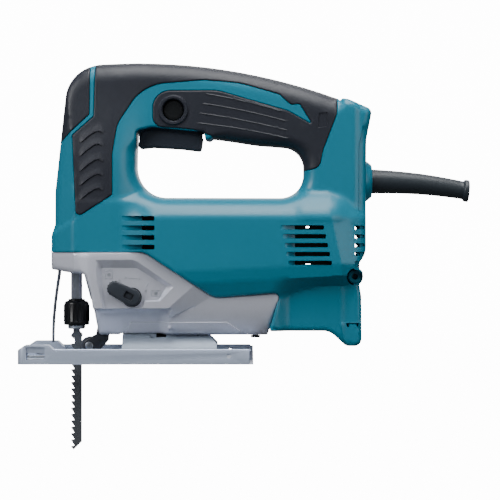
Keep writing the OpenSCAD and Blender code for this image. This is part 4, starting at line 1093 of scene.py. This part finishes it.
def lever():
    lower = slab(rounded([(-29.8, 18.2, 3), (-20.4, 18.7, 3), (-20.3, 14.6, 2), (-25.2, 8.6, 3), (-29.5, 7.2, 2),
                          (-36.8, 7.2, 3.7), (-36.8, 14.2, 3.7)], 0.9), -6.8, 6.8)
    bevel(lower, 0.8, 3)
    upper = bevel(slab(rounded([(-29, 16, 1), (-26, 31, 4), (-18, 31, 4), (-20.4, 16, 1)], 1.2), -6.7, 6.7), 0.6, 2)
    cut(lower, rod("y", 7.0, -4.4, 4.4, -33, 10.9), cube(-46, -33, -4.4, 4.4, 0, 20))
    done(joined(lower, upper), "roller_arm", lever_black, "lever", "black_oxide", "roller_lever")
    wheel = lathe([(-4.2, 2.1), (-4.2, 5.6), (-3.7, 6.2), (-1.2, 6.2), (-0.9, 5.4), (0.9, 5.4), (1.2, 6.2), (3.7, 6.2),
                   (4.2, 5.6), (4.2, 2.1), (-4.2, 2.1)], (-33, 0, 10.9), (0, 1, 0), 64)
    done(wheel, "roller_wheel", wheel_grey, "guide_roller", "black_oxide", "blade_roller")
    pin = lathe([(-7.6, 0), (-7.55, 2.0), (-7.2, 2.7), (-6.8, 2.8), (-6.8, 2.0), (6.8, 2.0), (6.8, 2.8), (7.2, 2.7),
                 (7.55, 2.0), (7.6, 0)], (-33, 0, 10.9), (0, 1, 0), 40)
    done(pin, "roller_axle", axle_steel, "lever", "bright_steel", "roller_pin")


def guard():
    t = np.linspace(0, 1, 22)
    side = np.stack([-53.6 - 4.2 * np.sin(t * math.pi / 2), 5 - 2 * t, 60 - 43 * t], 1)
    foot = [(-57.8, 3 * math.cos(a), 17 - 3.2 * math.sin(a)) for a in np.radians(np.arange(10, 171, 10))]
    other = side[::-1] * np.array([1, -1, 1])
    route = [(-53.6, 5, 66)] + list(side) + foot + list(other) + [(-53.6, -5, 66)]
    done(tube(route, 0.75), "finger_guard", ground, "frame", "bright_steel", "wire_guard")


blade()
clamp()
drive_rod()
lever()
guard()

# ---------------------------------------------------------------- base


def base():
    half_l, half_w = 78.2, 38.5
    sole_w = half_w - 0.6
    plan_corners = [(-half_l, sole_w, 4), (half_l, sole_w, 2), (half_l, -sole_w, 2), (-half_l, -sole_w, 4), (-half_l, -14, 3),
                    (-20, -14, 4), (-20, 14, 4), (-half_l, 14, 3)]
    outline = rounded(plan_corners, 3)
    sole = flat_plate(outline, 0, 3)
    for s in (-1, 1):
        y0, y1 = sorted((s * (half_w - 1.9), s * half_w))
        rim = slab([(-half_l + 4, 0.02), (-half_l + 4, 9.1), (half_l, 9.1), (half_l, 0.02)], y0, y1)
        y0, y1 = sorted((s * 34.9, s * 36.2))
        ledge = bevel(slab([(-55, 1), (-55, 10.2), (half_l - 2.5, 10.2), (half_l - 0.8, 8.4), (half_l - 0.8, 1)], y0, y1), 0.5, 3)
        y0, y1 = sorted((s * 26.5, s * half_w))
        block = slab(rounded([(-half_l, 0.04, 0.2), (-half_l, 9.4, 1.2), (-half_l + 5.0, 12.8, 1.5), (-57.6, 12.8, 1.5),
                              (-52.5, 8.2, 1.0), (-52.5, 0.04, 0.2)], 1.5), y0, y1)
        y0, y1 = sorted((s * 15.6, s * 17.4))
        rib = slab([(-72, 1), (-70, 4.4), (-30, 4.4), (-28, 1)], y0, y1)
        fuse(sole, rim, ledge, block, rib)
    fuse(sole, cube(half_l - 2.6, half_l - 0.05, -half_w + 2, half_w - 2, 0.2, 5))
    trim_w = half_w + 0.01
    plan_cut = flat_plate(rounded([(-half_l, trim_w, 4.5), (half_l, trim_w, 2.8), (half_l, -trim_w, 2.8), (-half_l, -trim_w, 4.5)], 0.8),
                    -1, 30)
    cut(sole, plan_cut, operation="INTERSECT")
    tools = [cube(-72.3, -59.9, -50, 50, 3.2, 7.6), rod("y", 1.5, -50, 50, 62, 5.6, 24),
             cube(9, 23, -7, 7, -2, 8)]
    for s in (-1, 1):
        y0, y1 = sorted((s * (half_w - 0.9), s * 45))
        tools.append(cube(-72.3, -59.9, y0, y1, 7.5, 11.4))
        y0, y1 = sorted((s * 29, s * 36))
        tools.append(cube(-70.5, -60.5, y0, y1, 9.4, 20))
    cut(sole, *tools)
    bevel(sole, 0.6, 3, 35)
    done(sole, "base_shoe", base_grey, "base", "base_metal", "base_plate", angle=40)
    leaves = [bevel(cube(-72.2, -60, *sorted((s * 30, s * 37)), 4.5, 5.5), 0.15) for s in (-1, 1)]
    shelf = joined(*leaves, bevel(cube(-72.2, -60, 30.0, 31.0, 3.2, 5.0), 0.15))
    done(shelf, "fence_springs", bright, "base", "base_metal")


def bracket():
    arch = rod("x", 22, -10, 53.7, 0, 0, 128)
    cut(arch, rod("x", 19.5, -20, 60, 0, 0, 128), cube(-20, 60, -30, 30, -30, 3))
    top = slab([(-30, 40), (-10, 40), (-10, 23), (43.9, 23), (53.7, 12.7), (53.7, 3), (53.7, -5), (80, -5), (80, 40)], -40, 40)
    cut(arch, top)
    for s in (-1, 1):
        y0, y1 = sorted((s * 19.6, s * 31))
        wing = cube(-10, 53.7, y0, y1, 3, 5)
        fuse(arch, wing)
    cut(arch, rod("y", 2.0, -40, -11.0, 10.2, 18.2, 32), rod("y", 2.0, 11.0, 40, 10.2, 18.2, 32),
        rod("y", 0.8, -40, 40, 40.8, 18.6, 20),
        cube(12.6, 19.4, -14, 14, 12, 30))
    bevel(arch, 0.3, 2, 40)
    done(arch, "tilt_bracket", bracket_grey, "base", "base_metal", "base_bracket", angle=40)
    heads = []
    for x in (-4, 42):
        for y in (-26, 26):
            heads.append(lathe([(0, 0), (0, 2.0), (4.4, 2.0), (4.4, 3.2), (5.0, 2.9), (5.55, 1.8), (5.7, 0)],
                               (x, y, 0.6), (0, 0, 1), 32))
    done(joined(*heads), "rivet_heads", bright, "base", "base_metal", "bracket_rivets")


base()
bracket()

# ---------------------------------------------------------------- rear end: cord guard and its collar; painted-shade sheets behind the air slots


def cord_sleeve():
    droop = math.radians(4.7)
    along = np.array((math.cos(droop), 0, -math.sin(droop)))
    profile = [(-8, 5.1), (-1, 5.2), (-1, 8.1)] + [(a, 8.2 - 0.032 * a) for a in np.arange(0, 62.1, 3.1)]
    profile += [(62.3, 6.3), (62.9, 7.1), (63.8, 7.6), (65.6, 7.6), (66.3, 7.1), (66.5, 6.1), (66.5, 3.6), (60, 3.5),
                (-8, 3.5), (-8, 5.1)]


    def sag(share):
        return 1.2 * math.sin(math.pi * share) - 1.3 * share ** 2

    obj = lathe(profile, (158.5, 0, 122.4), along, 72)
    for v in obj.data.vertices:
        run = max(0.0, min(1.0, (v.co.x / MM - 158.5) / 66.3))
        v.co.z += sag(run) * MM
    grooves = []
    for k, (y, z) in enumerate([(-3.2, 6.1), (-4.8, 4.9), (-6.0, 3.2)]):
        t = np.linspace(0.01, 0.62 - 0.1 * k, 16)
        route = [np.array((158.5, 0, 122.4)) + along * 66.3 * a + np.array((0, y * (1 - 0.26 * a) * 1.17,
                 z * (1 - 0.26 * a) * 1.17 + sag(a))) for a in t]
        grooves.append(tube(route, 0.22, 8))
    done(joined(obj, *grooves), "flex_guard", guard_rubber, "frame", "elastomer", "cord_guard", angle=30)
    collar = lathe([(-4, 7.8), (-4, 14.6), (-1.2, 14.4), (0.6, 13.4), (2.6, 11.9), (3.6, 11.0), (3.9, 10.2), (3.9, 7.8), (-4, 7.8)],
                   (154.7, 0, 122.6), (1, 0, 0), 72)
    for v in collar.data.vertices:
        v.co.y *= 0.86
    done(collar, "cord_entry_collar", teal, "frame", "teal_housing")


cord_sleeve()


def vent_shade_sheets():
    """Dark sheets behind the air slots, between the shells and the motor: painted shade standing in for the shadowed
    inside of the housing, so the pale backdrop does not show through.
    """
    shade_sheets = []
    for s in (-1, 1):
        shade_sheets.append(cube(0.5, 12.9, *sorted((s * 21.4, s * 22.2)), 74.5, 99.5))
        shade_sheet = cube(104.6, 132, *sorted((s * 24.6, s * 25.4)), 65, 93)
        # gaps in the painted-shade sheet let part of the top and bottom rear slot rows show through
        cut(shade_sheet, cube(113.2, 117.0, -40, 40, 90.6, 94), cube(113.0, 117.6, -40, 40, 64, 66.6))
        shade_sheets.append(shade_sheet)
        # a short dark bar, also painted shade, inside the rear end
        bar = cube(149.0, 150.0, *sorted((s * 3, s * 6)), 62, 70)
        shade_sheets.append(bar)
    # painted shade: one object of dark sheets standing in for the shadow inside the housing
    done(joined(*shade_sheets), "vent_painted_shade", lock_black, "frame", "black_plastic")


vent_shade_sheets()

# ---------------------------------------------------------------- finish of the carried-over CAD nodes


def dress_cad_nodes():
    finishes = {"base_metal": base_grey, "bright_steel": bright, "blade_steel": blade_metal, "black_oxide": black_oxide,
                "ground_steel": ground, "black_plastic": black_plastic, "seal_rubber": seal_rubber,
                "cast_aluminium": casting_grey, "black_screw": black_oxide, "copper": copper_wire, "laminations": core_steel,
                "bronze": bronze, "carbon": carbon, "spring_steel": spring_steel, "elastomer": elastomer,
                "teal_housing": teal}
    slots = {part["node"]: part["material_slot"] for part in frame["record"]["subparts"]}
    for name, obj in frame["nodes"].items():
        material = finishes.get(slots[name], ground)
        for slot in obj.material_slots:
            slot.material = material


dress_cad_nodes()
